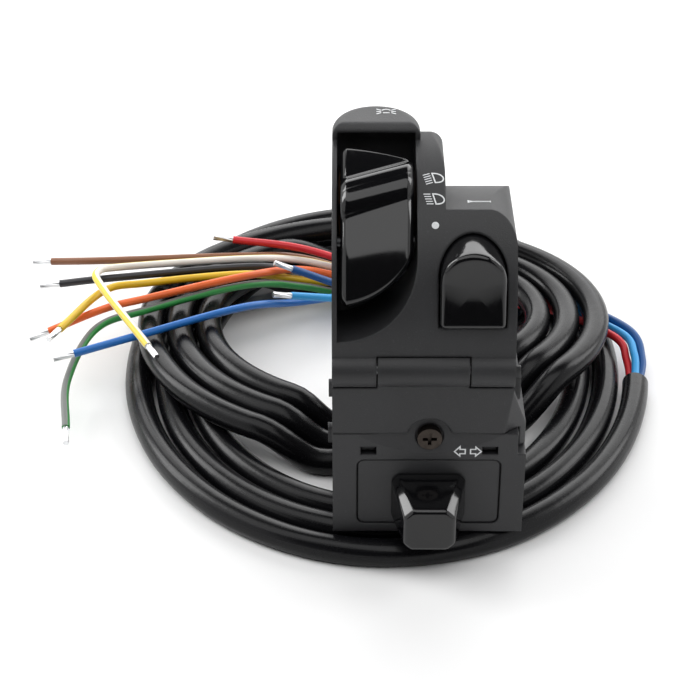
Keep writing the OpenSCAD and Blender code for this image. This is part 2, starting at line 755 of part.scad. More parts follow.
// Light rocker
module rocker_outline() {
    translate([rocker_x0, pocket_mid + 7]) square([rocker_w, tower_h]);
    intersection() {
        translate([rocker_x0, pocket_low]) square([rocker_w, tower_h]);
        translate([rocker_x1 - rocker_round + 2.5, wing_low.y + rocker_round]) circle(rocker_round);
    }
}
module light_rocker() color("#0b0b0c") difference() {
    union() {
        // the two wings, one plate that follows the front's arc and ends on a slant
        intersection() {
            difference() {
                rod_x(rocker_x0, rocker_x1, arc_y, arc_z, wing_r);
                rod_x(rocker_x0 - over, rocker_x1 + over, arc_y, arc_z, wing_r - wing_t);
            }
            upright(-front_reach, wing_high.x) rocker_outline();
            linear_extrude(tower_h) polygon([
                [rocker_x0, -front_reach], [rocker_x1, -front_reach],
                [rocker_x1, wing_high.x - wing_slope], [rocker_x0, wing_high.x]
            ]);
        }
        // the slanted thumb roll
        intersection() {
            translate([rocker_x0, roll_left.x, roll_left.y])
                rotate([0, 0, atan2(roll_rise.x, rocker_w)])
                rotate([0, -atan2(roll_rise.y, norm([roll_rise.x, rocker_w])), 0])
                rod_x(-2 * over, norm([rocker_w, roll_rise.x, roll_rise.y]) + 2 * over, 0, 0, roll_r);
            block(rocker_x0, rocker_x1, -front_reach, pocket_back, light_space_low, tower_h);
        }
        // web, hub and tail
        for (x = [rocker_x0 + 1.5, rocker_x1 - 4]) sideways(x, x + 2.5) polygon([
            [pivot_y - hub_r, pivot_z - 1], at_arc(wing_r - wing_t / 2, roll_a0 - 6), roll_right,
            [pivot_y + hub_r, pivot_z]
        ]);
        rod_x(rocker_x0, rocker_x1, pivot_y, pivot_z, hub_r);
        block(tail_x0, tail_x1, pivot_y, tail_end, pivot_z - tail_h / 2, pivot_z + tail_h / 2);
    }
    rod_x(rocker_x0 - over, rocker_x1 + over, pivot_y, pivot_z, pivot_r + run_gap);
    rod_y(rocker_bore_y, tail_end + over, rocker_ball_x, pivot_z, ball_bore_r);
}
module rocker_pin() color("#8d8f93")
    rod_x(x_left + 0.2, pocket_x1 + pivot_in, pivot_y, pivot_z, pivot_r - 0.01);
module rocker_detent_ball() color("#c9ccd0") translate([rocker_ball_x, rocker_ball_y, pivot_z]) sphere(ball_r);
module rocker_detent_spring() color("#b9bcc1")
    spring_y([rocker_ball_x, rocker_bore_y, pivot_z], rocker_ball_y - ball_r - rocker_bore_y, ball_r - 0.4, 5);
module light_contact_bridge() color("#b87333")
    block(
        tail_x0 + bridge_in, tail_x1 - move_gap, tail_end, tail_end + bridge_t,
        pivot_z - bridge_h / 2, pivot_z + bridge_h / 2
    );
module light_contact_board() color("#6b4a2b") difference() {
    block(
        pocket_x0 + board_gap, pocket_x1 - board_gap, light_board_y, light_board_y + light_board_t,
        light_space_low + board_gap, light_space_top - board_gap
    );
    board_screw_places() rod_y(-board_screw_len, board_screw_len, 0, 0, board_screw_r + run_gap);
}
module light_terminals() color("#c2a35a") for (i = [0 : 3])
    translate([
        dome_x + (i - 1.5) * terminal_pitch, light_board_y + light_board_t, light_space_top - terminal_drop
    ])
        block(-terminal_w / 2, terminal_w / 2, 0, terminal_w, -terminal_h / 2, terminal_h / 2);

// Screws that hold the two upper boards on their seats
module board_screw_places() {
    for (x = [pocket_x0 + board_screw_in, pocket_x1 - board_screw_in])
        translate([x, light_board_y, light_space_low + 8]) children();
    for (x = [horn_space_x0 + board_screw_in, horn_space_x1 - board_screw_in])
        translate([x, horn_board_y, horn_space_low + 8]) children();
}
module board_screws() color("#9a9ca0") board_screw_places() {
    rod_y(-0.7, 0, 0, 0, board_screw_head_r);
    rod_y(-seat_gap, board_screw_len - 0.1, 0, 0, board_screw_r - 0.02);
}

// Horn button
module horn_button() color("#0b0b0c") {
    difference() {
        union() {
            upright(horn_front, horn_rear) horn_outline(0);
            // the lip that keeps the button in its sleeve
            intersection() {
                upright(horn_rear - 1.2, horn_rear) horn_outline(horn_lip);
                block(
                    horn_space_x0 + move_gap, horn_space_x1 - move_gap, horn_rear - 2 * over, horn_rear + over,
                    horn_space_low + move_gap, horn_space_top - move_gap
                );
            }
        }
        upright(horn_front + horn_skin, horn_rear + over) horn_outline(-horn_skin);
    }
    rod_y(horn_front + horn_skin - seat_gap, horn_post_end, horn_x, horn_mid_z, horn_post_r);
}
module horn_spring() color("#b9bcc1") spring_y(
    [horn_x, horn_front + horn_skin, horn_mid_z], horn_board_y - horn_front - horn_skin, horn_spring_r, 7
);
module horn_contact() color("#b87333")
    rod_y(horn_post_end, horn_post_end + horn_contact_t, horn_x, horn_mid_z, horn_post_r);
module horn_board() color("#6b4a2b") difference() {
    block(
        horn_space_x0 + board_gap, horn_space_x1 - board_gap, horn_board_y, horn_board_y + horn_board_t,
        horn_space_low + board_gap, horn_space_top - board_gap
    );
    corner_cut(horn_space_x1 - board_gap, horn_space_top - board_gap, horn_space_corner);
    board_screw_places() rod_y(-board_screw_len, board_screw_len, 0, 0, board_screw_r + run_gap);
}
module horn_terminals() color("#c2a35a") for (side = [-1, 1])
    translate([horn_x + side * terminal_pitch, horn_board_y + horn_board_t, horn_mid_z])
        block(-terminal_w / 2, terminal_w / 2, 0, terminal_len, -terminal_h / 2, terminal_h / 2);

// Turn-signal switch
module turn_face_plate() color("#202022") difference() {
    union() {
        upright(plate_front, plate_seat + 2 * seat_gap) plate_outline(0);
        block(
            turn_x - plate_w / 2 - flange_w, turn_x + plate_w / 2 + flange_w, plate_seat + seat_gap,
            plate_seat + flange_t, plate_low - 0.4, plate_low + plate_h + flange_w
        );
        // snap arms with their tabs in the windows
        for (side = [-1, 1]) translate([turn_x + side * window_x, 0, window_z]) {
            block(
                -window_w / 2, window_w / 2, plate_seat + seat_gap, plate_seat + flange_t,
                plate_low + plate_h - window_z, window_h / 2 + 0.4
            );
            block(
                0.2 - window_w / 2, window_w / 2 - 0.2, tab_front, plate_seat + 0.1,
                0.2 - window_h / 2, window_h / 2 - 0.2
            );
        }
        // rails above and below the slider
        for (z = [knob_z - slider_h / 2 - rail_gap - rail_t, knob_z + slider_h / 2 + rail_gap]) block(
            turn_x - rail_w / 2, turn_x + rail_w / 2, plate_seat + seat_gap, slider_front + 3, z, z + rail_t
        );
    }
    block(
        turn_x - tongue_w / 2 - turn_travel - 0.5, turn_x + tongue_w / 2 + turn_travel + 0.5,
        -front_reach - over, plate_seat + flange_t + over,
        knob_z - tongue_h / 2 - move_gap, knob_z + tongue_h / 2 + move_gap
    );
}
module knob_outline(w, cut) {
    h = knob_h / 2;
    translate([turn_x, knob_z]) polygon([
        [-w, knob_low_cut - h], [knob_low_cut - w, -h], [w - knob_low_cut, -h], [w, knob_low_cut - h],
        [w, h - cut], [w - cut, h], [cut - w, h], [-w, h - cut]
    ]);
}
module turn_knob() color("#0b0b0c") difference() {
    hull() {
        upright(knob_back - seat_gap, knob_back) knob_outline(knob_w / 2, knob_cut);
        upright(knob_back - knob_reach, knob_back - knob_reach + seat_gap)
            knob_outline(knob_tip_w / 2, knob_tip_cut);
    }
    block(turn_x - tongue_w / 2, turn_x + tongue_w / 2, knob_back - tongue_depth, knob_back + over,
        knob_z - tongue_h / 2, knob_z + tongue_h / 2);
}
module turn_slider() color("#d8d4c6") difference() {
    union() {
        block(
            turn_x - slider_w / 2, turn_x + slider_w / 2, slider_front, slider_back,
            knob_z - slider_h / 2, knob_z + slider_h / 2
        );
        block(
            turn_x - tongue_w / 2, turn_x + tongue_w / 2, knob_back - tongue_depth, slider_front + over,
            knob_z - tongue_h / 2, knob_z + tongue_h / 2
        );
    }
    rod_y(turn_bore_y, slider_back + over, turn_ball_x, knob_z, ball_bore_r);
}
module turn_detent_ball() color("#c9ccd0") translate([turn_ball_x, turn_ball_y, knob_z]) sphere(ball_r);
module turn_detent_spring() color("#b9bcc1")
    spring_y([turn_ball_x, turn_bore_y, knob_z], turn_ball_y - ball_r - turn_bore_y, ball_r - 0.4, 4);
module turn_contact_bridge() color("#b87333")
    block(
        turn_x + 1, turn_x + 1 + bridge_in, slider_back, slider_back + bridge_t,
        knob_z - bridge_h / 2, knob_z + bridge_h / 2
    );
module turn_contact_board() color("#6b4a2b") block(
    x_left + wall + 0.2, x_flare - wall - 0.2, turn_board_y, turn_board_y + turn_board_t,
    housing_low + wall + 0.2, cheek_low - wall - 0.4
);
module turn_terminals() color("#c2a35a") for (i = [-1 : 1])
    translate([turn_x + 2 * terminal_pitch * i, turn_board_y + turn_board_t, knob_z + terminal_pitch])
        block(-terminal_w / 2, terminal_w / 2, 0, terminal_drop, -terminal_h / 2, terminal_h / 2);

// Cables
module gland(at) {
    translate(at) rotate([-90, 0, 0]) {
        translate([0, 0, -2]) cylinder(r = gland_r - 0.02, h = 2);
        cylinder(r = gland_r + 1.4, h = gland_collar);
        translate([0, 0, gland_collar])
            cylinder(r1 = gland_r + 0.9, r2 = gland_r - 0.1, h = gland_len - gland_collar);
    }
}
module main_cable_gland() color("#18181a") gland(main_gland);
module turn_cable_gland() color("#18181a") gland(turn_gland);
module main_cable_lead() color("#151517")
    sweep(main_lead, cable_d / 2, 10, first = [0, 1, 0], last = main_start);
module turn_cable_lead() color("#151517")
    sweep(turn_lead, cable_d / 2, 10, first = [0, 1, 0], last = turn_start, low = floor_z);
module main_cable_coil() color("#151517")
    sweep(main_coil, cable_d / 2, coil_sides, first = main_start, last = [-1, 0, 0], low = floor_z);
module turn_cable_coil() color("#151517")
    sweep(turn_coil, cable_d / 2, coil_sides, first = turn_start, last = [0, 1, 0], low = floor_z);
module main_wire(route) sweep(route, wire_d / 2, 8, first = [-1, 0, 0], last = finish_of(route));
module turn_wire(route) sweep(route, wire_d / 2, 8, first = [0, 1, 0], last = finish_of(route));
module wire_brown() color("#8a5a3c") main_wire(brown_route);
module wire_white_yellow() color("#f2efe6") main_wire(white_route);
module wire_black() color("#26262a") main_wire(black_route);
module wire_yellow() color("#e5b90f") main_wire(yellow_route);
module wire_orange() color("#ee6a24") main_wire(orange_route);
module wire_green() color("#2f8a3a") main_wire(green_route);
module wire_blue() color("#1466b8") main_wire(blue_route);
module turn_wire_red() color("#cf2630") turn_wire(red_route);
module turn_wire_light_blue() color("#2a9ade") turn_wire(light_blue_route);
module turn_wire_blue() color("#14508c") turn_wire(turn_blue_route);
module tips(routes) for (route = routes) {
    end = route[len(route) - 1];
    sweep([end, end + tip_len * finish_of(route)], wire_d * 0.38, 8);
}
module main_wire_tips() color("#d4d6d8") tips(main_routes);
module turn_wire_tips() color("#d4d6d8") tips(turn_routes);

upper_shell();
lower_shell();
turn_housing();
hinge_pin();
clamp_screw();
clamp_insert();
housing_screws();
light_rocker();
rocker_pin();
rocker_detent_ball();
rocker_detent_spring();
light_contact_bridge();
light_contact_board();
light_terminals();
horn_button();
horn_spring();
horn_contact();
horn_board();
horn_terminals();
board_screws();
turn_face_plate();
turn_knob();
turn_slider();
turn_detent_ball();
turn_detent_spring();
turn_contact_bridge();
turn_contact_board();
turn_terminals();
main_cable_gland();
turn_cable_gland();
main_cable_lead();
main_cable_coil();
turn_cable_lead();
turn_cable_coil();
wire_brown();
wire_white_yellow();
wire_black();
wire_yellow();
wire_orange();
wire_green();
wire_blue();
main_wire_tips();
turn_wire_red();
turn_wire_light_blue();
turn_wire_blue();
turn_wire_tips();
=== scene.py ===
"""Looks of the left handlebar switch cluster with its two coiled cables.

Shapes are worked out in millimetres and become metres when a mesh is made.
"""

import json
import logging
from dataclasses import dataclass
from enum import Enum
from typing import Any, Callable, Optional, Sequence, Union

import bmesh
import bpy
import numpy as np
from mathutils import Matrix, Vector


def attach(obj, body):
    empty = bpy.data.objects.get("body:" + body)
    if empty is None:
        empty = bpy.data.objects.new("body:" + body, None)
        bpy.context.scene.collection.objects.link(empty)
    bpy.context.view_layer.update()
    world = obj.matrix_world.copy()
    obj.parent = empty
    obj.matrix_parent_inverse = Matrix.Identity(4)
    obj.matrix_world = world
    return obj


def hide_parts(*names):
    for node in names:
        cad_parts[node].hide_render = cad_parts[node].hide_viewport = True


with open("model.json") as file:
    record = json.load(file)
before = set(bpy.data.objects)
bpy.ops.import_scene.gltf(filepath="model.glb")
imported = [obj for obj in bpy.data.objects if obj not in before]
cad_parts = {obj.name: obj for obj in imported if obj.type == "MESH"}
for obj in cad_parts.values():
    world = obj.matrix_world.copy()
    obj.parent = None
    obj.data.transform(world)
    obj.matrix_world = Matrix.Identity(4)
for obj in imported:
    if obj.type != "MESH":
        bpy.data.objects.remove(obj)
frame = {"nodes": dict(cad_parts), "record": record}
log = logging.getLogger("switch_cluster")

Array = np.ndarray
Colour = tuple[float, float, float]
Triple = tuple[float, float, float]
Number = Union["Value", float]
Place = Callable[[Array, float], Array]
MM = 0.001
FLOOR_Z = -49.6
INK_TOP = 0.035
INK_FOOT = -0.05


class Body(Enum):
    """The rigid bodies that pieces ride on."""

    LOWER = "lower"
    UPPER = "upper"
    ROCKER = "rocker"
    HORN = "horn"
    TURN = "turn"


# Shader expressions


class Value:
    """A shader socket with arithmetic: each operator adds a Math node."""

    def __init__(self, graph: "Graph", socket: bpy.types.NodeSocket) -> None:
        """Keep the socket and the graph that it belongs to."""
        self.graph = graph
        self.socket = socket

    def math(self, operation: str, left: Number, right: Number = 0.0) -> "Value":
        """Add one Math node on two values or numbers."""
        return self.graph.node("ShaderNodeMath", {"operation": operation}, {0: left, 1: right})

    def __add__(self, other: Number) -> "Value":
        """Sum."""
        return self.math("ADD", self, other)

    __radd__ = __add__

    def __mul__(self, other: Number) -> "Value":
        """Product."""
        return self.math("MULTIPLY", self, other)

    __rmul__ = __mul__

    def __sub__(self, other: Number) -> "Value":
        """Difference."""
        return self.math("SUBTRACT", self, other)

    def __rsub__(self, other: Number) -> "Value":
        """Difference from a number."""
        return self.math("SUBTRACT", other, self)

    def __lt__(self, other: Number) -> "Value":
        """One where the value is under the other, else zero."""
        return self.math("LESS_THAN", self, other)

    def ramp(self, low: float, high: float) -> "Value":
        """Zero below low, one above high, an even slope between."""
        return self.graph.node(
            "ShaderNodeMapRange", {"clamp": True}, {"Value": self, "From Min": low, "From Max": high}
        )


class Graph:
    """The node tree of one material or of the world, written from its surface backwards."""

    def __init__(self, owner: Union[bpy.types.Material, bpy.types.World]) -> None:
        """Start with an empty tree."""
        self.owner = owner
        owner.use_nodes = True
        self.tree = owner.node_tree
        self.tree.nodes.clear()

    def node(
        self, kind: str, settings: Optional[dict[str, Any]] = None,
        sockets: Optional[dict[Union[str, int], Any]] = None, out: Union[str, int] = 0,
    ) -> Value:
        """Add any node.

        Args:
            kind: Blender's name of the node type.
            settings: the node's own options, set before its sockets.
            sockets: numbers, colours or values for its inputs.
            out: the output that is wanted.

        Returns:
            That output, ready for arithmetic.
        """
        made = self.tree.nodes.new(kind)
        for name, setting in (settings or {}).items():
            setattr(made, name, setting)
        for name, given in (sockets or {}).items():
            if isinstance(given, Value):
                self.tree.links.new(given.socket, made.inputs[name])
            else:
                made.inputs[name].default_value = given
        return Value(self, made.outputs[out])

    def place(self, stretch: Triple = (1.0, 1.0, 1.0), along: bool = False) -> Value:
        """Pattern coordinates.

        Args:
            stretch: how often the pattern repeats in a unit of each axis.
            along: follow the piece's UV map, along and around, in place of its frame.

        Returns:
            The scaled vector.
        """
        source = self.node("ShaderNodeTexCoord", out="UV" if along else "Object")
        return self.node("ShaderNodeMapping", None, {"Vector": source, "Scale": stretch})

    def noise(self, where: Value, scale: float, detail: float = 2.0, roughness: float = 0.5) -> Value:
        """Even noise between 0 and 1 at that scale."""
        return self.node(
            "ShaderNodeTexNoise", None,
            {"Vector": where, "Scale": scale, "Detail": detail, "Roughness": roughness},
        )

    def mix(self, factor: Number, first: Any, second: Any) -> Value:
        """Blend two colours."""
        return self.node(
            "ShaderNodeMix", {"data_type": "RGBA"}, {0: factor, 6: first, 7: second}, out=2
        )

    def bump(
        self, height: Value, depth: float, strength: float = 1.0, under: Optional[Value] = None
    ) -> Value:
        """Relief from a height.

        Args:
            height: the height, from 0 to 1.
            depth: what a height of 1 stands for, in millimetres.
            strength: share of the relief that shows.
            under: another normal that it lies on, if any.

        Returns:
            The normal.
        """
        sockets = {"Height": height, "Distance": depth * MM, "Strength": strength}
        if under is not None:
            sockets["Normal"] = under
        return self.node("ShaderNodeBump", None, sockets)

    def rounded(self, radius: float) -> Value:
        """A normal that rounds sharp edges by a radius in millimetres."""
        return self.node("ShaderNodeBevel", {"samples": 6}, {"Radius": radius * MM})

    def surface(self, sockets: dict[str, Any]) -> bpy.types.Material:
        """Finish the material with one principled surface."""
        self.finish("ShaderNodeOutputMaterial", self.node("ShaderNodeBsdfPrincipled", None, sockets))
        return self.owner

    def finish(self, kind: str, shader: Value) -> None:
        """Join a shader to an output node of that kind."""
        end = self.tree.nodes.new(kind)
        self.tree.links.new(shader.socket, end.inputs["Surface"])


def rgba(colour: Colour, share: float = 1.0) -> tuple[float, float, float, float]:
    """A colour, darkened or lightened by a share, with full alpha."""
    return (colour[0] * share, colour[1] * share, colour[2] * share, 1.0)


# Finishes


@dataclass(frozen=True)
class MouldedPlastic:
    """Moulded plastic: spark-eroded grain, handling polish and soft edges."""

    colour: Colour
    roughness: float
    grain: float = 0.3
    relief: float = 0.02
    edge: float = 0.4

    def make(self, name: str) -> bpy.types.Material:
        """Write the material: fine noise for the grain, wide noise for the polish.

        Args:
            name: the material's name.

        Returns:
            The material.
        """
        graph = Graph(bpy.data.materials.new(name))
        where = graph.place()
        grain = graph.noise(where, 1.0 / (self.grain * MM), 3.0, 0.6)
        polish = graph.noise(where, 90.0, 3.0)
        fleck = graph.noise(where, 2200.0, 1.0).ramp(0.66, 0.74)
        tint = graph.mix(polish.ramp(0.3, 0.75), rgba(self.colour, 0.82), rgba(self.colour, 1.2))
        return graph.surface({
            "Base Color": graph.mix(fleck * 0.35, tint, rgba(self.colour, 2.6)),
            "Roughness": self.roughness - 0.05 + 0.1 * polish + 0.06 * grain,
            "Normal": graph.bump(grain, self.relief, 1.0, graph.rounded(self.edge)),
        })


@dataclass(frozen=True)
class PolishedPlastic:
    """Polished plastic: deep gloss with faint rub marks and dust."""

    colour: Colour
    roughness: float
    edge: float = 0.3

    def make(self, name: str) -> bpy.types.Material:
        """Write the material: long faint scratches change the gloss, specks lie on it.

        Args:
            name: the material's name.

        Returns:
            The material.
        """
        graph = Graph(bpy.data.materials.new(name))
        rub = graph.noise(graph.place((900.0, 70.0, 70.0)), 1.0, 3.0)
        cloud = graph.noise(graph.place(), 110.0, 2.0)
        speck = graph.noise(graph.place(), 1500.0, 1.0).ramp(0.74, 0.78)
        return graph.surface({
            "Base Color": graph.mix(speck * 0.5, rgba(self.colour), rgba(self.colour, 3.0)),
            "Roughness": self.roughness + 0.05 * rub.ramp(0.5, 0.8) + 0.03 * cloud + 0.12 * speck,
            "Normal": graph.bump(rub, 0.002, 0.5, graph.rounded(self.edge)),
        })


@dataclass(frozen=True)
class SleeveVinyl:
    """Soft vinyl sleeve: long streaks, wrinkles across, a waxy sheen."""

    colour: Colour
    roughness: float
    sheen: float = 0.22

    def make(self, name: str) -> bpy.types.Material:
        """Write the material on the tube's own map: along it in decimetres, around it in turns.

        Args:
            name: the material's name.

        Returns:
            The material.
        """
        graph = Graph(bpy.data.materials.new(name))
        streak = graph.noise(graph.place((2.2, 16.0, 1.0), along=True), 1.0, 4.0)
        wrinkle = graph.noise(graph.place((40.0, 3.0, 1.0), along=True), 1.0, 3.0)
        dust = graph.noise(graph.place(), 1600.0, 2.0).ramp(0.62, 0.8)
        tint = graph.mix(streak.ramp(0.3, 0.75), rgba(self.colour, 0.8), rgba(self.colour, 1.25))
        return graph.surface({
            "Base Color": graph.mix(dust * 0.3, tint, rgba(self.colour, 3.0)),
            "Roughness": self.roughness - 0.06 + 0.16 * streak + 0.08 * dust,
            "Specular IOR Level": self.sheen,
            "Normal": graph.bump(0.65 * streak + 0.35 * wrinkle, 0.22, 0.55),
        })


@dataclass(frozen=True)
class WireVinyl:
    """Thin-wall wire insulation, plain or with a stripe along it."""

    colour: Colour
    stripe: Optional[Colour] = None
    stripe_share: float = 0.3
    roughness: float = 0.34

    def make(self, name: str) -> bpy.types.Material:
        """Write the material: the stripe covers a share of each turn round the wire.

        Args:
            name: the material's name.

        Returns:
            The material.
        """
        graph = Graph(bpy.data.materials.new(name))
        soil = graph.noise(graph.place((6.0, 4.0, 1.0), along=True), 1.0, 3.0)
        fine = graph.noise(graph.place(), 2500.0, 2.0)
        tint = graph.mix(soil.ramp(0.35, 0.75), rgba(self.colour, 0.84), rgba(self.colour, 1.06))
        if self.stripe is not None:
            turn = graph.node(
                "ShaderNodeSeparateXYZ", None, {"Vector": graph.place(along=True)}, out="Y"
            )
            wander = turn + 0.06 * soil
            tint = graph.mix(wander < self.stripe_share, tint, rgba(self.stripe))
        return graph.surface({
            "Base Color": tint,
            "Roughness": self.roughness + 0.14 * soil,
            "Normal": graph.bump(0.5 * soil + 0.5 * fine, 0.05, 0.4),
        })


@dataclass(frozen=True)
class WornMetal:
    """Metal with drawn or turned lines and a thin dull film."""

    colour: Colour
    roughness: float
    film: float = 0.25
    edge: float = 0.12

    def make(self, name: str) -> bpy.types.Material:
        """Write the material: stretched noise for the lines, wide noise for the film.

        Args:
            name: the material's name.

        Returns:
            The material.
        """
        graph = Graph(bpy.data.materials.new(name))
        lines = graph.noise(graph.place((2600.0, 260.0, 2600.0)), 1.0, 2.0)
        film = graph.noise(graph.place(), 500.0, 3.0).ramp(0.4, 0.8)
        return graph.surface({
            "Base Color": graph.mix(film * self.film, rgba(self.colour), rgba(self.colour, 0.45)),
            "Metallic": 1.0,
            "Roughness": self.roughness + 0.12 * lines + 0.2 * film * self.film,
            "Normal": graph.bump(lines, 0.01, 0.5, graph.rounded(self.edge)),
        })


@dataclass(frozen=True)
class PrintedInk:
    """Pad-printed white marking ink, a little uneven."""

    colour: Colour

    def make(self, name: str) -> bpy.types.Material:
        """Write the material: fine noise thins the ink in places.

        Args:
            name: the material's name.

        Returns:
            The material.
        """
        graph = Graph(bpy.data.materials.new(name))
        thin = graph.noise(graph.place(), 2600.0, 2.0)
        return graph.surface({
            "Base Color": graph.mix(thin.ramp(0.3, 0.8), rgba(self.colour, 0.82), rgba(self.colour)),
            "Roughness": 0.45 + 0.15 * thin,
        })


@dataclass(frozen=True)
class PressedLaminate:
    """Brown resin board with paper fibres in it."""

    colour: Colour

    def make(self, name: str) -> bpy.types.Material:
        """Write the material: fibres are noise stretched along the board.

        Args:
            name: the material's name.

        Returns:
            The material.
        """
        graph = Graph(bpy.data.materials.new(name))
        fibre = graph.noise(graph.place((420.0, 900.0, 90.0)), 1.0, 4.0)
        return graph.surface({
            "Base Color": graph.mix(fibre.ramp(0.3, 0.7), rgba(self.colour, 0.7), rgba(self.colour, 1.25)),
            "Roughness": 0.38 + 0.2 * fibre,
            "Normal": graph.bump(fibre, 0.02, 0.6, graph.rounded(0.1)),
        })


# Shapes


@dataclass
class Patch:
    """A grid of points in millimetres: rows along the form, columns round it."""

    points: Array
    closed: bool = True
    caps: tuple[bool, bool] = (True, True)
    spans: tuple[float, float] = (1.0, 1.0)

    def parts(self, first: int) -> tuple[Array, list[list[int]], Array]:
        """Work out the grid's vertices, faces and map.

        Args:
            first: number of the patch's first vertex in the mesh.

        Returns:
            Vertices, faces, and one map point for each corner of each face.
        """
        rows, columns = self.points.shape[:2]
        last = columns if self.closed else columns - 1
        i, j = (a.ravel() for a in np.meshgrid(np.arange(rows - 1), np.arange(last), indexing="ij"))
        corner_i = np.stack([i, i, i + 1, i + 1], 1)
        corner_j = np.stack([j, j + 1, j + 1, j], 1)
        quads = first + corner_i * columns + corner_j % columns
        maps = np.stack([corner_i / (rows - 1) * self.spans[0], corner_j / last * self.spans[1]], -1)
        faces = quads.tolist()
        corners = [maps.reshape(-1, 2)]
        for row, wanted in zip((0, rows - 1), self.caps):
            if wanted:
                ring = first + row * columns + np.arange(columns)
                faces.append(ring.tolist())
                corners.append(np.full((columns, 2), [row / (rows - 1) * self.spans[0], 0.5]))
        return self.points.reshape(-1, 3), faces, np.concatenate(corners)


def make_piece(
    name: str, patches: Sequence[Patch], material: bpy.types.Material, body: Body, slot: str,
    crease: float = 40.0,
) -> bpy.types.Object:
    """Make one mesh of some patches and ride it on its body.

    Args:
        name: the piece's name.
        patches: grids in millimetres.
        material: its finish.
        body: the body that carries it.
        slot: the record's material slot; not used.
        crease: angle in degrees past which an edge stays sharp.

    Returns:
        The object, at the origin.
    """
    points, faces, maps, count = [], [], [], 0
    for patch in patches:
        vertices, polygons, corners = patch.parts(count)
        points.append(vertices)
        faces.extend(polygons)
        maps.append(corners)
        count += len(vertices)
    mesh = bpy.data.meshes.new(name)
    mesh.from_pydata((np.concatenate(points) * MM).tolist(), [], faces)
    layer = mesh.uv_layers.new(name="along_around")
    layer.data.foreach_set("uv", np.concatenate(maps).ravel())
    work = bmesh.new()
    work.from_mesh(mesh)
    bmesh.ops.recalc_face_normals(work, faces=work.faces)
    work.to_mesh(mesh)
    work.free()
    mesh.polygons.foreach_set("use_smooth", np.ones(len(mesh.polygons), dtype=bool))
    mesh.set_sharp_from_angle(angle=np.radians(crease))
    mesh.materials.append(material)
    piece = bpy.data.objects.new(name, mesh)
    bpy.context.collection.objects.link(piece)
    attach(piece, body.value)
    log.info("%s: %d faces on %s", name, len(mesh.polygons), body.value)
    return piece


def unit(vectors: Array) -> Array:
    """Vectors of length one."""
    return vectors / np.linalg.norm(vectors, axis=-1, keepdims=True)


def smooth(low: Array, high: Array, value: Array) -> Array:
    """Zero below low, one above high, an S-shaped cubic between."""
    t = np.clip((value - low) / (high - low), 0.0, 1.0)
    return t * t * (3.0 - 2.0 * t)


def length_of(path: Array) -> float:
    """Length of a path of points."""
    return float(np.linalg.norm(np.diff(path, axis=0), axis=1).sum())


def smooth_route(
    points: Sequence[Sequence[float]], before: Optional[Array] = None, after: Optional[Array] = None,
    steps: int = 10,
) -> Array:
    """A smooth curve through points: each stretch is the cubic whose slope at a point is half the
    step from the point before it to the point after it.

    Args:
        points: the points to pass through.
        before: a point that the curve comes from, else the first step run backwards.
        after: a point that the curve goes on to, else the last step run on.
        steps: samples in each stretch.

    Returns:
        The curve's points.
    """
    given = np.asarray(points, dtype=float)
    first = 2 * given[0] - given[1] if before is None else np.asarray(before, dtype=float)
    last = 2 * given[-1] - given[-2] if after is None else np.asarray(after, dtype=float)
    line = np.concatenate([first[None], given, last[None]])
    t = (np.arange(steps) / steps)[None, :, None]
    a, b, c, d = (line[k:len(line) - 3 + k, None] for k in range(4))
    curve = 0.5 * (
        2 * b + (c - a) * t + (2 * a - 5 * b + 4 * c - d) * t ** 2 + (3 * b - a - 3 * c + d) * t ** 3
    )
    return np.concatenate([curve.reshape(-1, 3), given[-1:]])


def even(path: Array, step: float) -> Array:
    """The same path with its points a step apart.

    Args:
        path: the points of the path.
        step: about how far apart the new points lie.

    Returns:
        Points at even distances along the path.
    """
    run = np.concatenate([[0.0], np.cumsum(np.linalg.norm(np.diff(path, axis=0), axis=1))])
    at = np.linspace(0.0, run[-1], max(2, int(round(run[-1] / step)) + 1))
    return np.stack([np.interp(at, run, path[:, k]) for k in range(3)], -1)


def tube(path: Array, radius: Array, sides: int, low: float = -1000.0) -> Array:
    """Rings square to a path: each point is the path's point plus the radius times a direction that
    turns once round it, from the side over the top; what would lie below low is pressed flat.

    Args:
        path: the points that the middle follows.
        radius: the radius, one number, one a ring, or a grid of rings and sides.
        sides: points in a ring.
        low: lowest height.

    Returns:
        A grid of rings.
    """
    ahead = unit(np.gradient(path, axis=0))
    side = unit(np.cross(ahead, [0.0, 0.0, 1.0]))
    over = np.cross(side, ahead)
    turn = np.linspace(0.0, 2 * np.pi, sides, endpoint=False)
    around = np.cos(turn)[None, :, None] * side[:, None] + np.sin(turn)[None, :, None] * over[:, None]
    reach = np.asarray(radius, dtype=float)
    reach = reach[:, None] if reach.ndim == 1 else reach
    rings = path[:, None] + np.broadcast_to(reach, (len(path), sides))[..., None] * around
    rings[..., 2] = np.maximum(rings[..., 2], low)
    return rings


# Cables and wires


@dataclass(frozen=True)
class Wire:
    """One wire: its place in the sleeve's end, the points it lies on and its finish."""

    node: str
    seat: int
    route: tuple[Triple, ...]
    slot: str
    finish: WireVinyl


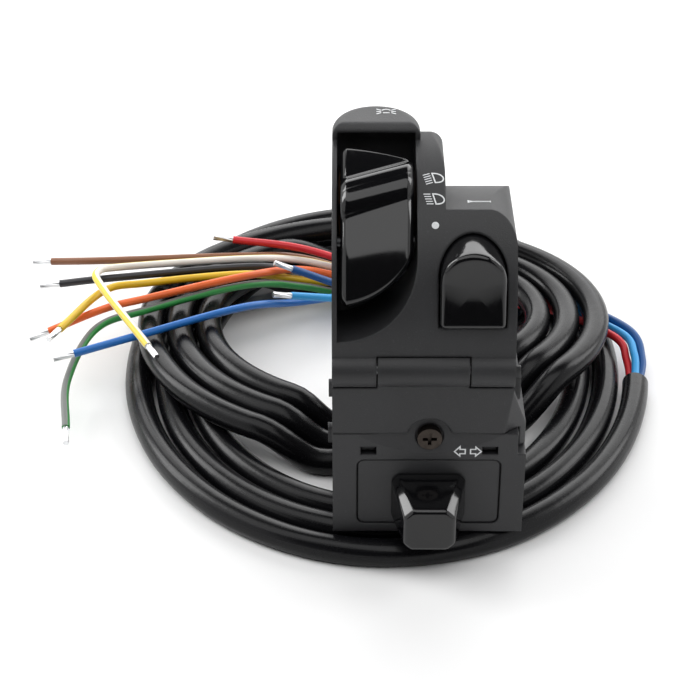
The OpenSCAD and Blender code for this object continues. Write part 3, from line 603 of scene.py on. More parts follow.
@dataclass
class Cables:
    """The two sleeved cables, in their loops, and the wires that come out of them."""

    sleeve_d: float = 7.0
    sleeve_sides: int = 28
    sleeve_step: float = 2.4
    sleeve_in: float = 2.0
    sleeve_aim: float = 7.0
    wire_d: float = 2.1
    wire_sides: int = 16
    wire_step: float = 1.2
    wire_in: float = 5.0
    wire_aim: float = 8.0
    tip_len: float = 5.5
    tip_r: float = 0.8
    tip_root: float = 1.0
    strands: int = 6
    pitch: float = 7.8
    rest_z: float = -46.8
    turn_middle: tuple[float, float] = (-9.0, 55.0)
    turn_half: tuple[float, float] = (68.0, 84.0)
    turn_arc: tuple[float, float] = (30.0, 1072.0)
    main_middle: tuple[float, float] = (-9.0, 62.5)
    main_half: tuple[float, float] = (60.0, 48.0)
    main_arc: tuple[float, float] = (75.0, 1165.0)
    main_full: float = 270.0
    swell: float = 9.0
    lift_left: float = 7.4
    lift_right: float = 10.0
    bores: tuple[float, float] = (2.6, 3.15)
    bore_depth: float = 6.0
    bundle_rise: float = 0.3
    turn_exit: Triple = (-7.0, 32.0, -34.0)
    main_exit: Triple = (13.0, 36.0, -7.6)
    turn_via: tuple[Triple, ...] = (
        (-6.5, 39, -34.6), (-3, 46, -38.5), (4, 55, -43), (16, 65.5, -46.6), (28, 77, -46.8),
    )
    main_via: tuple[Triple, ...] = (
        (13.2, 43, -8), (14.5, 55, -11), (17.5, 72, -18), (20.5, 88, -23.5), (20.5, 98, -27.5),
        (17, 105.2, -31),
    )
    main_wires: tuple[Wire, ...] = (
        Wire("wire_brown", 0, (
            (-16, 94.4, -43), (-31, 95, -38.5), (-46, 89, -34.4), (-84, 86.5, -34.4), (-101, 89.5, -36.5),
        ), "wire_brown", WireVinyl((0.24, 0.095, 0.042))),
        Wire("wire_white_yellow", 1, (
            (-16, 91.9, -41.4), (-31, 92, -37.6), (-46, 86, -33.6), (-79, 80, -32.6), (-86, 74.5, -31),
            (-83.5, 65, -30.6), (-69, 38, -31.6),
        ), "wire_white", WireVinyl((0.86, 0.83, 0.76), (0.82, 0.62, 0.06), 0.26)),
        Wire("wire_black", 5, (
            (-16, 92.9, -46), (-31, 89.4, -39.6), (-46, 82.5, -34.1), (-83, 76.8, -34.4), (-97, 76.5, -36),
        ), "wire_black", WireVinyl((0.018, 0.018, 0.022))),
        Wire("wire_yellow", -1, (
            (-16, 90.5, -44.8), (-31, 86.4, -40.6), (-46, 79, -34.4), (-73, 74, -34.3), (-84, 69, -33.8),
            (-93.5, 50, -34),
        ), "wire_yellow", WireVinyl((0.76, 0.48, 0.012))),
        Wire("wire_orange", 2, (
            (-16, 89.4, -42.3), (-31, 86.6, -37.4), (-46, 73.6, -31.9), (-71, 62.5, -32), (-83, 61.5, -34.8),
            (-98, 58.4, -40),
        ), "wire_orange", WireVinyl((0.84, 0.14, 0.022))),
        Wire("wire_green", 4, (
            (-16, 87.6, -46.6), (-31, 83.6, -41), (-46, 73.2, -34.5), (-71, 60.5, -34.4), (-85, 56, -37.8),
            (-90.5, 37, -41.5), (-89, 20, -44.5),
        ), "wire_green", WireVinyl((0.03, 0.27, 0.05), (0.16, 0.17, 0.16), 0.36)),
        Wire("wire_blue", 3, (
            (-16, 84.8, -44.6), (-32, 74, -40.5), (-46, 61.5, -34.4), (-71, 48, -34.2), (-89, 42, -36.5),
        ), "wire_blue", WireVinyl((0.012, 0.15, 0.5))),
    )
    turn_wires: tuple[Wire, ...] = (
        Wire("turn_wire_red", 2, (
            (57, 52, -45), (54, 59, -41.9), (36, 73.4, -41.8), (16, 76.8, -41.8), (-8, 86.5, -38.6),
            (-30, 93, -34.4), (-50, 93, -31.4),
        ), "wire_red", WireVinyl((0.64, 0.02, 0.03))),
        Wire("turn_wire_light_blue", 0, (
            (58.9, 52, -43.2), (56, 61, -41.9), (38, 76, -41.8), (27, 77.6, -41.8), (14, 79, -44.6),
            (-14, 77, -41.5), (-33, 70, -35.9),
        ), "wire_light_blue", WireVinyl((0.026, 0.34, 0.74))),
        Wire("turn_wire_blue", 1, (
            (61.2, 52.5, -44.8), (58.2, 63, -41.9), (40.4, 78.6, -41.8), (26, 80, -41.9), (10, 81.4, -45),
            (-14, 83.5, -42.4), (-33, 80.5, -33.6),
        ), "wire_deep_blue", WireVinyl((0.008, 0.085, 0.28))),
    )

    def turn_at(self, angle: Array) -> Array:
        """Turn-signal loops: ovals whose half widths grow by the pitch in each turn.

        Args:
            angle: degrees round the ovals' middle.

        Returns:
            Points of the cable's middle.
        """
        a = np.radians(angle)
        inset = self.pitch * (self.turn_arc[1] - angle) / 360.0
        x = self.turn_middle[0] + (self.turn_half[0] - inset) * np.cos(a)
        y = self.turn_middle[1] + (self.turn_half[1] - inset) * np.sin(a)
        return np.stack([x, y, np.full_like(a, self.rest_z)], -1)

    def main_at(self, angle: Array) -> Array:
        """Main loops: ovals that narrow by the pitch in each turn, reach farther at the front left, and
        climb over the other cable by an S-shaped rise at the left and at the right.

        Args:
            angle: degrees round the ovals' middle.

        Returns:
            Points of the cable's middle.
        """
        a = np.radians(angle)
        inset = self.pitch * (angle - self.main_full) / 360.0
        across, deep = np.cos(a), np.sin(a)
        low = np.where(deep > 0, np.where(angle > 720, 0.45, 0.15), np.where(across > 0, 0.52, 0.25))
        high = np.where(deep > 0, np.where(angle > 720, 0.75, 0.5), np.where(across > 0, 0.8, 0.5))
        climb = smooth(low, high, np.abs(across)) * np.where(across > 0, self.lift_right, self.lift_left)
        first = self.lift_left + (self.lift_right - self.lift_left) * smooth(0.0, 0.5, across)
        lift = np.where(angle < 180, first, climb)
        swell = np.where(deep < 0, self.swell * smooth(-0.5, 0.5, -across), 0.0)
        x = self.main_middle[0] + (self.main_half[0] - inset) * across
        y = self.main_middle[1] + (self.main_half[1] + swell - inset) * deep
        return np.stack([x, y, self.rest_z + lift], -1)

    def sleeve(
        self, name: str, path: Array, nodes: Sequence[str], exit_at: Sequence[float], bore: float,
        material: bpy.types.Material,
    ) -> bpy.types.Object:
        """A sleeve along its path: round, a little flattened here and there by sine waves along and
        around it, with an open cut end.

        Args:
            name: the piece's name.
            path: the points of its middle.
            nodes: the CAD nodes that it stands for.
            exit_at: where it leaves its gland; not used.
            bore: radius of the hole at the cut end.
            material: its finish.

        Returns:
            The piece.
        """
        sides = self.sleeve_sides
        run = np.linspace(0.0, length_of(path), len(path))[:, None]
        turn = np.linspace(0.0, 2 * np.pi, sides, endpoint=False)[None]
        oval = 0.05 * np.sin(run / 31.0) * np.cos(2 * turn + run / 57.0)
        dent = 0.035 * np.sin(run / 9.0 + 2.0) * np.sin(run / 43.0) * np.cos(3 * turn - run / 21.0)
        outer = self.sleeve_d / 2
        rings = tube(path, outer * (1.0 - np.abs(oval) * 0.4 + oval * 0.6 + dent), sides, FLOOR_Z)
        back = unit(path[-2] - path[-1])
        inner = path[-1] + (rings[-1] - path[-1]) * (bore / outer)
        rings = np.concatenate([rings, inner[None], (inner + self.bore_depth * back)[None]])
        total = length_of(path)
        piece = make_piece(
            name, [Patch(rings, spans=(total / 100.0, 1.0))], material, Body.LOWER, "sleeve_black", 60.0
        )
        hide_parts(*nodes)
        [c * MM for c in exit_at]
        return piece

    def wire(
        self, wire: Wire, seat: Array, ahead: Array, tips: str, tinned: bpy.types.Material
    ) -> bpy.types.Object:
        """One wire from inside the sleeve's end to its stripped tip: a round tube along a smooth route,
        and a twisted bundle of strands whose radius waves six times round it.

        Args:
            wire: the wire.
            seat: its middle at the sleeve's end.
            ahead: the way that the sleeve points there.
            tips: the CAD node of the tips.
            tinned: finish of the strands.

        Returns:
            The wire's piece.
        """
        route = np.concatenate([seat[None], np.asarray(wire.route, dtype=float)])
        curve = even(smooth_route(route, seat - self.wire_aim * ahead), self.wire_step)
        curve = np.concatenate([(seat - self.wire_in * ahead)[None], curve])
        rings = tube(curve, self.wire_d / 2, self.wire_sides, FLOOR_Z)
        total = length_of(curve)
        piece = make_piece(
            wire.node + "_lead", [Patch(rings, spans=(total / 100.0, 1.0))], wire.finish.make(wire.slot),
            Body.LOWER, wire.slot, 60.0,
        )
        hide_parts(wire.node)
        out = unit(curve[-1] - curve[-2])
        sides = 6 * self.strands
        run = np.concatenate([np.linspace(-self.tip_root, self.tip_len, 26), [self.tip_len]])
        turn = np.linspace(0.0, 2 * np.pi, sides, endpoint=False)
        bundle = self.tip_r * (0.93 + 0.1 * np.cos(self.strands * turn[None] + 1.1 * run[:, None]))
        bundle[-1] *= 0.3
        tip_path = curve[-1] + run[:, None] * out
        frame_path = curve[-1] + np.linspace(-self.tip_root, self.tip_len, len(run))[:, None] * out
        twist = tube(frame_path, bundle, sides)
        tip = make_piece(
            wire.node + "_tip", [Patch(twist + (tip_path - frame_path)[:, None])], tinned,
            Body.LOWER, "tip_tinned", 50.0,
        )
        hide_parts(tips)
        return piece

    def build(self) -> None:
        """Lay both cables and all the wires."""
        vinyl = SleeveVinyl((0.004, 0.004, 0.0048), 0.24).make("sleeve_black")
        tinned = WornMetal((0.78, 0.79, 0.8), 0.28, 0.3).make("tip_tinned")
        outwards = np.array([0.0, 1.0, 0.0])
        jobs = (
            ("turn_cable", self.turn_at, self.turn_exit, self.turn_via, self.turn_arc, 15.0, 350),
            ("main_cable", self.main_at, self.main_exit, self.main_via, self.main_arc, 13.0, 370),
        )
        for (name, loops, leave, via, arc, on, count), bore in zip(jobs, self.bores):
            first = np.array(leave)
            lead = smooth_route(
                [first, *via, loops(np.array(arc[0]))], first - self.sleeve_aim * outwards,
                loops(np.array(arc[0] + on)),
            )
            coil = loops(np.linspace(*arc, count)[1:])
            start = first - self.sleeve_in * outwards
            path = even(np.concatenate([start[None], lead, coil]), self.sleeve_step)
            self.sleeve(name, path, (f"{name}_lead", f"{name}_coil"), leave, bore, vinyl)
        main_end = self.main_at(np.array(self.main_arc[1]))
        turn_end = self.turn_at(np.array(self.turn_arc[1]))
        for wire in self.main_wires:
            a = np.radians(60.0 * wire.seat)
            offset = np.zeros(3) if wire.seat < 0 else self.wire_d * np.array([0.0, np.cos(a), np.sin(a)])
            seat = main_end + [0, 0, self.bundle_rise] + offset
            self.wire(wire, seat, np.array([-1.0, 0.0, 0.0]), "main_wire_tips", tinned)
        for wire in self.turn_wires:
            a = np.radians(120.0 * wire.seat)
            seat = turn_end + self.wire_d / np.sqrt(3) * np.array([np.sin(a), 0.0, np.cos(a)])
            self.wire(wire, seat, np.array([0.0, 1.0, 0.0]), "turn_wire_tips", tinned)


# Casing and inner pieces


@dataclass
class Casing:
    """The shells, the turn housing and the inner pieces, which keep their CAD shapes."""

    shell: MouldedPlastic = MouldedPlastic((0.0165, 0.0167, 0.0183), 0.5, 0.3, 0.06, 0.8)
    housing: MouldedPlastic = MouldedPlastic((0.0165, 0.0166, 0.0184), 0.46, 0.5, 0.02, 0.5)
    button: PolishedPlastic = PolishedPlastic((0.004, 0.004, 0.0046), 0.07)
    rubber: MouldedPlastic = MouldedPlastic((0.0095, 0.0095, 0.01), 0.62, 0.6, 0.03, 0.4)
    ivory: MouldedPlastic = MouldedPlastic((0.66, 0.62, 0.5), 0.42, 0.6, 0.008, 0.2)
    steel: WornMetal = WornMetal((0.42, 0.43, 0.45), 0.3)
    dark_steel: WornMetal = WornMetal((0.06, 0.05, 0.043), 0.36, 0.5)
    spring: WornMetal = WornMetal((0.55, 0.56, 0.58), 0.24)
    brass: WornMetal = WornMetal((0.54, 0.38, 0.13), 0.3)
    board: PressedLaminate = PressedLaminate((0.15, 0.07, 0.025))

    def build(self) -> dict[str, bpy.types.Material]:
        """Dress each node that stays with the finish of its slot.

        Returns:
            The materials by slot.
        """
        finishes = {
            "shell_black": self.shell, "housing_black": self.housing, "button_black": self.button,
            "pin_steel": self.steel, "screw_steel": self.dark_steel, "spring_steel": self.spring,
            "insert_brass": self.brass, "contact_brass": self.brass, "board_brown": self.board,
            "slider_ivory": self.ivory, "gland_rubber": self.rubber,
        }
        materials = {slot: finish.make(slot) for slot, finish in finishes.items()}
        for part in frame["record"]["subparts"]:
            material = materials.get(part["material_slot"])
            if material is not None:
                node = frame["nodes"][part["node"]]
                for slot in node.material_slots:
                    slot.material = material
                log.info("%s: %s", part["node"], material.name)
        return materials


# Switch buttons


def prism(outline: Array, x0: float, x1: float) -> Patch:
    """A side outline in Y and Z, carried from x0 to x1 with both ends closed."""
    rows = [np.concatenate([np.full((len(outline), 1), x), outline], 1) for x in (x0, x1)]
    return Patch(np.stack(rows))


def rounded_outline(facing: Array, reach: Array, radius: float, steps: int = 6) -> Array:
    """A rounded polygon: straight sides at a reach from the middle, each square to the way it faces,
    joined by arcs. An arc's middle is where the two sides meet when both are moved in by the radius.

    Args:
        facing: the sides' directions in degrees, in rising order.
        reach: the sides' distances from the middle.
        radius: radius of the arcs.
        steps: points in each arc.

    Returns:
        Points in the plane, one arc after another.
    """
    a = np.radians(facing)
    b = np.radians(np.concatenate([facing[1:], facing[:1] + 360.0]))
    d, e = reach - radius, np.roll(reach, -1) - radius
    turn = np.sin(b - a)
    middle = np.stack([
        (d * np.sin(b) - e * np.sin(a)) / turn, (e * np.cos(a) - d * np.cos(b)) / turn
    ], -1)
    sweep = a[:, None] + (b - a)[:, None] * np.linspace(0.0, 1.0, steps)[None]
    return (middle[:, None] + radius * np.stack([np.cos(sweep), np.sin(sweep)], -1)).reshape(-1, 2)


@dataclass
class LightRocker:
    """The light rocker: a curved plate with a slanted thumb roll, on a hub with a tail."""

    x0: float = -19.1
    x1: float = -3.1
    arc: tuple[float, float] = (15.0, 3.0)
    wing_r: float = 39.5
    wing_t: float = 3.8
    roll_r: float = 6.1
    roll_in: float = 3.9
    roll_angles: tuple[float, float] = (56.2, 63.9)
    top_ys: tuple[float, float] = (7.4, 3.4)
    low_angle: float = 20.6
    low_round: float = 20.0
    edge: float = 1.35
    fullness: float = 1.3
    flat_reach: float = 41.0
    flat_lean: float = 9.0
    shine_turn: float = 0.5
    shine_span: tuple[float, float] = (-9.0, -26.0)
    roll_span: float = 9.0
    top_gap: float = 9.4
    blends: tuple[float, float] = (0.05, 0.12)
    seam: Triple = (0.045, 1.2, 0.16)
    low_x: float = -20.6
    pivot: tuple[float, float] = (4.0, 18.5)
    hub_r: float = 3.0
    web_front: tuple[float, float] = (-9.1, 31.6)
    web_back: tuple[float, float] = (-0.6, 34.2)
    tail_y: float = 13.3
    tail_half: float = 2.3

    def plate(self) -> Patch:
        """The plate with its roll, as sections across X. A section is a ring in Y and Z. Its front lies at
        the wing's radius, or farther out where the roll does: there it follows the roll's circle, cut off
        by a flat. Circle and flat, and then roll and wing, are blended by half their sum less or plus the
        root of their squared difference and a small number. A fine seam runs along the roll. Below the
        roll the front moves out at the left and in at the right by an S-shaped step. Its back lies a wall's
        thickness behind. Towards every rim the front sinks along a bevel whose two shares, each to the
        power of its fullness, sum to one.

        Returns:
            The closed patch.
        """
        ease = np.linspace(0.0, np.pi / 2, 9)
        run_in = self.edge * (1.0 - np.cos(ease) ** (2.0 / self.fullness))
        fall = self.edge * (1.0 - np.sin(ease) ** (2.0 / self.fullness))
        x = np.concatenate([
            self.x0 + run_in, np.linspace(self.x0 + self.edge, self.x1 - self.edge, 26)[1:-1],
            (self.x1 - run_in)[::-1],
        ])
        sink = np.concatenate([fall, np.zeros(24), fall[::-1]])
        share = ((x - self.x0) / (self.x1 - self.x0))[:, None]
        roll = self.roll_angles[0] + share * (self.roll_angles[1] - self.roll_angles[0])
        drop = self.wing_r * np.sin(np.radians(self.low_angle)) + self.low_round
        low_z = drop - np.sqrt(self.low_round ** 2 - (x - self.low_x)[:, None] ** 2)
        draw_in = np.degrees(sink[:, None] / self.wing_r)
        low = np.degrees(np.arcsin(low_z / self.wing_r)) + draw_in
        top_y = self.top_ys[0] + (self.top_ys[1] - self.top_ys[0]) * share ** 1.5
        high = np.degrees(np.arccos((self.arc[0] - top_y) / self.wing_r)) - draw_in
        high = np.maximum(high, roll + self.top_gap)
        rim = np.degrees(run_in / self.wing_r)[None]
        t = np.linspace(0.0, 1.0, 22)[None]
        near = self.roll_span
        angle = np.concatenate([
            low + rim, low + rim[:, -1:] + (roll - near - low - rim[:, -1:]) * t[:, 1:],
            roll + np.linspace(-near, near, 72)[None, 1:-1],
            roll + near + (high - rim[:, -1:] - roll - near) * t[:, :-1], high - rim[:, ::-1],
        ], 1)
        off = np.radians(angle - roll)
        axis = self.wing_r - self.roll_in
        bulge = axis * np.cos(off) + np.sqrt(np.maximum(self.roll_r ** 2 - (axis * np.sin(off)) ** 2, 0.0))
        flat = self.flat_reach / np.cos(off - np.radians(self.flat_lean))
        bulge = 0.5 * (flat + bulge - np.sqrt((flat - bulge) ** 2 + self.blends[0]))
        front = 0.5 * (self.wing_r + bulge + np.sqrt((self.wing_r - bulge) ** 2 + self.blends[1]))
        front = front + self.shine_turn * (1.0 - 2.0 * share) * smooth(*self.shine_span, angle - roll)
        depth, at, width = self.seam
        front = front - depth * np.exp(-((np.degrees(off) - at) / width) ** 2)
        to_rim = np.minimum(angle - low, high - angle) * np.pi / 180 * self.wing_r
        rest = self.edge - np.clip(to_rim, 0.0, self.edge)
        even_out = (self.edge ** self.fullness - rest ** self.fullness) ** (1.0 / self.fullness)
        front = front - sink[:, None] - (self.edge - even_out)
        back = np.minimum(self.wing_r - self.wing_t + sink[:, None] * 0.4, front - 0.05)
        radius = np.concatenate([front, back[:, ::-1]], 1)
        theta = np.radians(np.concatenate([angle, angle[:, ::-1]], 1))
        return Patch(np.stack([
            np.broadcast_to(x[:, None], theta.shape), self.arc[0] - radius * np.cos(theta),
            self.arc[1] + radius * np.sin(theta),
        ], -1))

    def build(self, gloss: bpy.types.Material) -> None:
        """Make the plate, its webs, hub and tail in one piece.

        Args:
            gloss: its finish.
        """
        y, z = self.pivot
        turn = np.linspace(0.0, 2 * np.pi, 40, endpoint=False)
        hub = np.stack([y + self.hub_r * np.cos(turn), z + self.hub_r * np.sin(turn)], -1)
        web = np.array([(y - self.hub_r, z - 1.0), self.web_front, self.web_back, (y + self.hub_r, z)])
        under, over = z - self.tail_half, z + self.tail_half
        tail = np.array([(y, under), (self.tail_y, under), (self.tail_y, over), (y, over)])
        piece = make_piece("light_rocker_plate", [
            self.plate(), prism(hub, self.x0, self.x1), prism(web, self.x0 + 1.5, self.x0 + 4.0),
            prism(web, self.x1 - 4.0, self.x1 - 1.5), prism(tail, self.x0 + 2.0, self.x1 - 2.4),
        ], gloss, Body.ROCKER, "button_black", 50.0)
        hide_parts("light_rocker")


@dataclass
class HornButton:
    """The horn button: an arch-topped block with a dished face that leans back above a full lower lip."""

    x: float = 9.8
    low: float = 12.65
    arch_z: float = 22.85
    half: float = 7.2
    front: float = -24.6
    rear: float = -8.2
    edge: float = 1.3
    corner: float = 1.4
    neck: float = -14.0
    lip: float = 2.4
    lip_lean: float = 26.0
    top_lean: float = -6.0
    spring_r: float = 3.0
    spring_wire: float = 0.2
    spring_turns: int = 7
    spring_ends: tuple[float, float] = (-18.2, -3.2)

    def dish(self, z: Array) -> Array:
        """How far the face lies behind its lower lip: a circle whose slope runs from the lip's lean to the
        top's.

        Args:
            z: heights on the face.

        Returns:
            Depths behind the lip.
        """
        foot, top = self.low + self.edge, self.arch_z + self.half - self.edge
        lean, end = np.radians(self.lip_lean), np.radians(self.top_lean)
        r = (top - foot) / (np.sin(lean) - np.sin(end))
        middle = foot + r * np.sin(lean)
        inside = np.clip(z, foot, top) - middle
        return np.sqrt(r ** 2 - inside ** 2) - r * np.cos(lean)

    def outline(self, inset: float) -> Array:
        """The arch, two sides and a flat foot with rounded corners.

        Args:
            inset: how far all of it is moved in.

        Returns:
            Points in X and Z.
        """
        r = self.half - inset
        c = max(self.corner - inset, 0.15)
        foot = self.low + inset
        turn = np.linspace(0.0, np.pi, 44)
        arch = np.stack([r * np.cos(turn), self.arch_z + r * np.sin(turn)], -1)
        quarter = np.linspace(np.pi, 1.5 * np.pi, 9)
        left = np.stack([-r + c + c * np.cos(quarter), foot + c + c * np.sin(quarter)], -1)
        right = left[::-1] * [-1.0, 1.0]
        return np.concatenate([arch, left, right]) + [self.x, 0.0]

    def build(self, gloss: bpy.types.Material) -> None:
        """Carry the outline forwards, round it into the face along a quarter circle, and close the face
        with the outline drawn in to its middle; face and edge follow the dish.

        Args:
            gloss: its finish.
        """
        ease = np.linspace(0.0, np.pi / 2, 9)
        insets = np.concatenate([[0.0, 0.0, 0.0], self.edge * (1.0 - np.cos(ease))])
        sides = [self.rear, self.neck, self.front + self.lip]
        depth = np.concatenate([sides, self.front + self.edge * (1.0 - np.sin(ease))])
        follow = np.concatenate([[0.0, 0.0, 1.0], np.ones(len(ease))])
        rings = np.stack([self.outline(float(i)) for i in insets])
        middle = np.array([self.x, self.low + (self.arch_z + self.half - self.low) / 2])
        draw = np.linspace(1.0, 0.0, 24)[1:, None, None] * 0.985 + 0.015
        rings = np.concatenate([rings, middle + (rings[-1] - middle) * draw])
        depth = np.concatenate([depth, np.full(len(draw), self.front)])
        follow = np.concatenate([follow, np.ones(len(draw))])
        y = depth[:, None] + follow[:, None] * self.dish(rings[..., 1])
        piece = make_piece(
            "horn_button_cap", [Patch(np.stack([rings[..., 0], y, rings[..., 1]], -1))], gloss, Body.HORN,
            "button_black", 50.0,
        )
        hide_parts("horn_button")

    def build_spring(self, steel: bpy.types.Material) -> None:
        """The return spring, drawn as short as the pressed button leaves it: a circle carried along a helix
        about the button's middle.

        Args:
            steel: its finish.
        """
        along = np.linspace(0.0, 1.0, 24 * self.spring_turns + 1)[:, None]
        a = 2 * np.pi * self.spring_turns * along
        turn = np.linspace(0.0, 2 * np.pi, 8, endpoint=False)[None]
        r = self.spring_r + self.spring_wire * np.cos(turn)
        front, rear = self.spring_ends[0] + self.spring_wire, self.spring_ends[1] - self.spring_wire
        y = front + (rear - front) * along - self.spring_wire * np.sin(turn)
        z = self.low + (self.arch_z + self.half - self.low) / 2 + r * np.sin(a)
        piece = make_piece(
            "horn_spring_coil", [Patch(np.stack([self.x + r * np.cos(a), y, z], -1))], steel, Body.UPPER,
            "spring_steel", 60.0,
        )
        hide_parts("horn_spring")


@dataclass
class TurnKnob:
    """The turn-signal knob: a block with cut corners that narrows and falls towards its face."""

    middle: tuple[float, float] = (1.0, -34.4)
    back: float = -24.1
    reach: float = 11.0
    half_w: tuple[float, float] = (8.5, 5.8)
    half_h: float = 5.5
    top_h: tuple[float, float] = (8.0, 5.5)
    upper_cut: tuple[float, float] = (1.5, 2.3)
    lower_cut: float = 1.7
    edge: float = 0.9
    corner: float = 1.5

    def outline(self, share: float, inset: float) -> Array:
        """The eight sides: level, upright and slanted at the corners.

        Args:
            share: share of the way from the plate to the face.
            inset: how far the sides are moved in.

        Returns:
            Points in X and Z.
        """
        w = np.interp(share, (0.0, 1.0), self.half_w)
        upper = np.interp(share, (0.0, 1.0), self.upper_cut)
        facing = np.arange(0.0, 360.0, 45.0)
        a = np.radians(facing)
        over = np.sin(a) > 0
        h = np.where(over, np.interp(share, (0.0, 1.0), self.top_h), self.half_h)
        slant = (w + h - np.where(over, upper, self.lower_cut)) / np.sqrt(2.0)
        reach = np.select([facing % 180 == 0, facing % 90 == 0], [w, h], slant)
        return rounded_outline(facing, reach - inset, max(self.corner - 0.5 * inset, 0.3)) + self.middle

    def build(self, gloss: bpy.types.Material) -> None:
        """Carry the outline from the plate to the face, round its front edge along a quarter circle and
        draw the face in to its middle.

        Args:
            gloss: its finish.
        """
        ease = np.linspace(0.0, np.pi / 2, 8)
        face = self.back - self.reach
        along = np.concatenate([
            np.linspace(self.back, face + self.edge, 10)[:-1], face + self.edge * (1.0 - np.sin(ease))
        ])
        insets = np.concatenate([np.zeros(9), self.edge * (1.0 - np.cos(ease))])
        rings = np.stack([self.outline((self.back - y) / self.reach, i) for y, i in zip(along, insets)])
        draw = np.linspace(1.0, 0.0, 10)[1:, None, None] * 0.98 + 0.02
        rings = np.concatenate([rings, self.middle + (rings[-1] - self.middle) * draw])
        y = np.broadcast_to(np.concatenate([along, np.full(len(draw), face)])[:, None], rings.shape[:2])
        piece = make_piece(
            "turn_knob_cap", [Patch(np.stack([rings[..., 0], y, rings[..., 1]], -1))], gloss, Body.TURN,
            "button_black", 40.0,
        )
        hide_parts("turn_knob")


# Printed marks


@dataclass(frozen=True)
class Stroke:
    """A line of ink of even width, open or closed."""

    points: tuple[tuple[float, float], ...]
    width: float = 0.3
    closed: bool = False

    def band(self, place: Place) -> Patch:
        """A flat bar along the line: at each point both edges lie half a width off it, on the line that
        halves the corner, and its top stands a hair above the surface.

        Args:
            place: puts points of the drawing at a height over the surface.

        Returns:
            The bar as a closed patch.
        """
        p = np.asarray(self.points, dtype=float)
        if self.closed:
            p = np.concatenate([p, p[:1]])
        step = unit(np.diff(p, axis=0))
        first, last = (step[-1:], step[:1]) if self.closed else (step[:1], step[-1:])
        before, after = np.concatenate([first, step]), np.concatenate([step, last])
        normal = unit(np.stack([-(before + after)[:, 1], (before + after)[:, 0]], -1))
        square = np.stack([-after[:, 1], after[:, 0]], -1)
        half = self.width / 2 / np.maximum((normal * square).sum(1, keepdims=True), 0.35)
        left, right = p + half * normal, p - half * normal
        rows = [place(left, INK_TOP), place(right, INK_TOP), place(right, INK_FOOT), place(left, INK_FOOT)]
        return Patch(np.stack(rows, 1), caps=(not self.closed, not self.closed))


def line(points: Array, width: float = 0.3, closed: bool = False) -> Stroke:
    """A stroke along an array of points."""
    return Stroke(tuple(map(tuple, points)), width, closed)


def spot(radius: float) -> tuple[Stroke, ...]:
    """A filled disc, as rings of ink one inside the other.

    Args:
        radius: the disc's radius.

    Returns:
        The rings.
    """
    turn = np.linspace(0.0, 2 * np.pi, 40, endpoint=False)
    ring = np.stack([np.cos(turn), np.sin(turn)], -1)
    radii = np.arange(radius - 0.1, 0.05, -0.19)
    return tuple(line(ring * r, 0.22, True) for r in radii)


def lamp_bowl(width: float, height: float, lean: float = 0.0) -> Stroke:
    """The outline of a headlamp: a flat side on the left and a long bow on the right.

    Args:
        width: how far the bow reaches.
        height: length of the flat side.
        lean: share of the height by which it leans to the left.

    Returns:
        The closed stroke.
    """
    turn = np.linspace(-np.pi / 2, np.pi / 2, 26)
    rise = height / 2 * np.sin(turn)
    bow = np.stack([width * np.cos(turn) ** 0.8 - lean * rise, rise], -1)
    return line(bow, closed=True)


def rays(count: int, reach: float, height: float, fall: float, lean: float = 0.0) -> tuple[Stroke, ...]:
    """Level or falling rays to the left of a headlamp, in a row that leans with it."""
    rows = np.linspace(height / 2, -height / 2, count)
    return tuple(
        Stroke(((-0.55 - reach - lean * y, y - fall), (-0.55 - lean * y, y)), 0.22) for y in rows
    )


def side_lamp() -> tuple[Stroke, ...]:
    """A lamp that shines both ways: a bowed bar between two fans of rays.

    Returns:
        The strokes.
    """
    turn = np.linspace(0.25 * np.pi, 0.75 * np.pi, 15)
    top = np.stack([1.35 * np.cos(turn), 1.9 * np.sin(turn) - 0.65], -1)
    foot = np.array([(-0.75, -0.55), (0.75, -0.55)])
    slopes = ((0.75, 0.6), (0.1, 0.0), (-0.5, -0.6))
    fans = [((s * 1.15, v), (s * 2.2, v + w)) for s in (-1.0, 1.0) for v, w in slopes]
    return (line(top), line(foot), *(Stroke(fan, 0.28) for fan in fans))


def arrow(way: float) -> Stroke:
    """The outline of an arrow that points left or right."""
    shape = np.array([
        (1.3, 0.0), (0.05, 1.25), (0.05, 0.6), (-1.15, 0.6), (-1.15, -0.6), (0.05, -0.6), (0.05, -1.25)
    ])
    return line(shape * [way, 1.0], closed=True)


def trumpet() -> tuple[Stroke, ...]:
    """A horn seen from the side: a flared bell on the left and a thin stem."""
    return (
        Stroke(((-2.5, 0.55), (-2.5, -0.55)), 0.3), Stroke(((-2.4, 0.3), (-1.6, 0.05), (2.3, 0.05)), 0.26),
        Stroke(((-2.4, -0.3), (-1.6, -0.1), (2.3, -0.1)), 0.26), Stroke(((2.35, 0.3), (2.35, -0.35)), 0.26),
    )


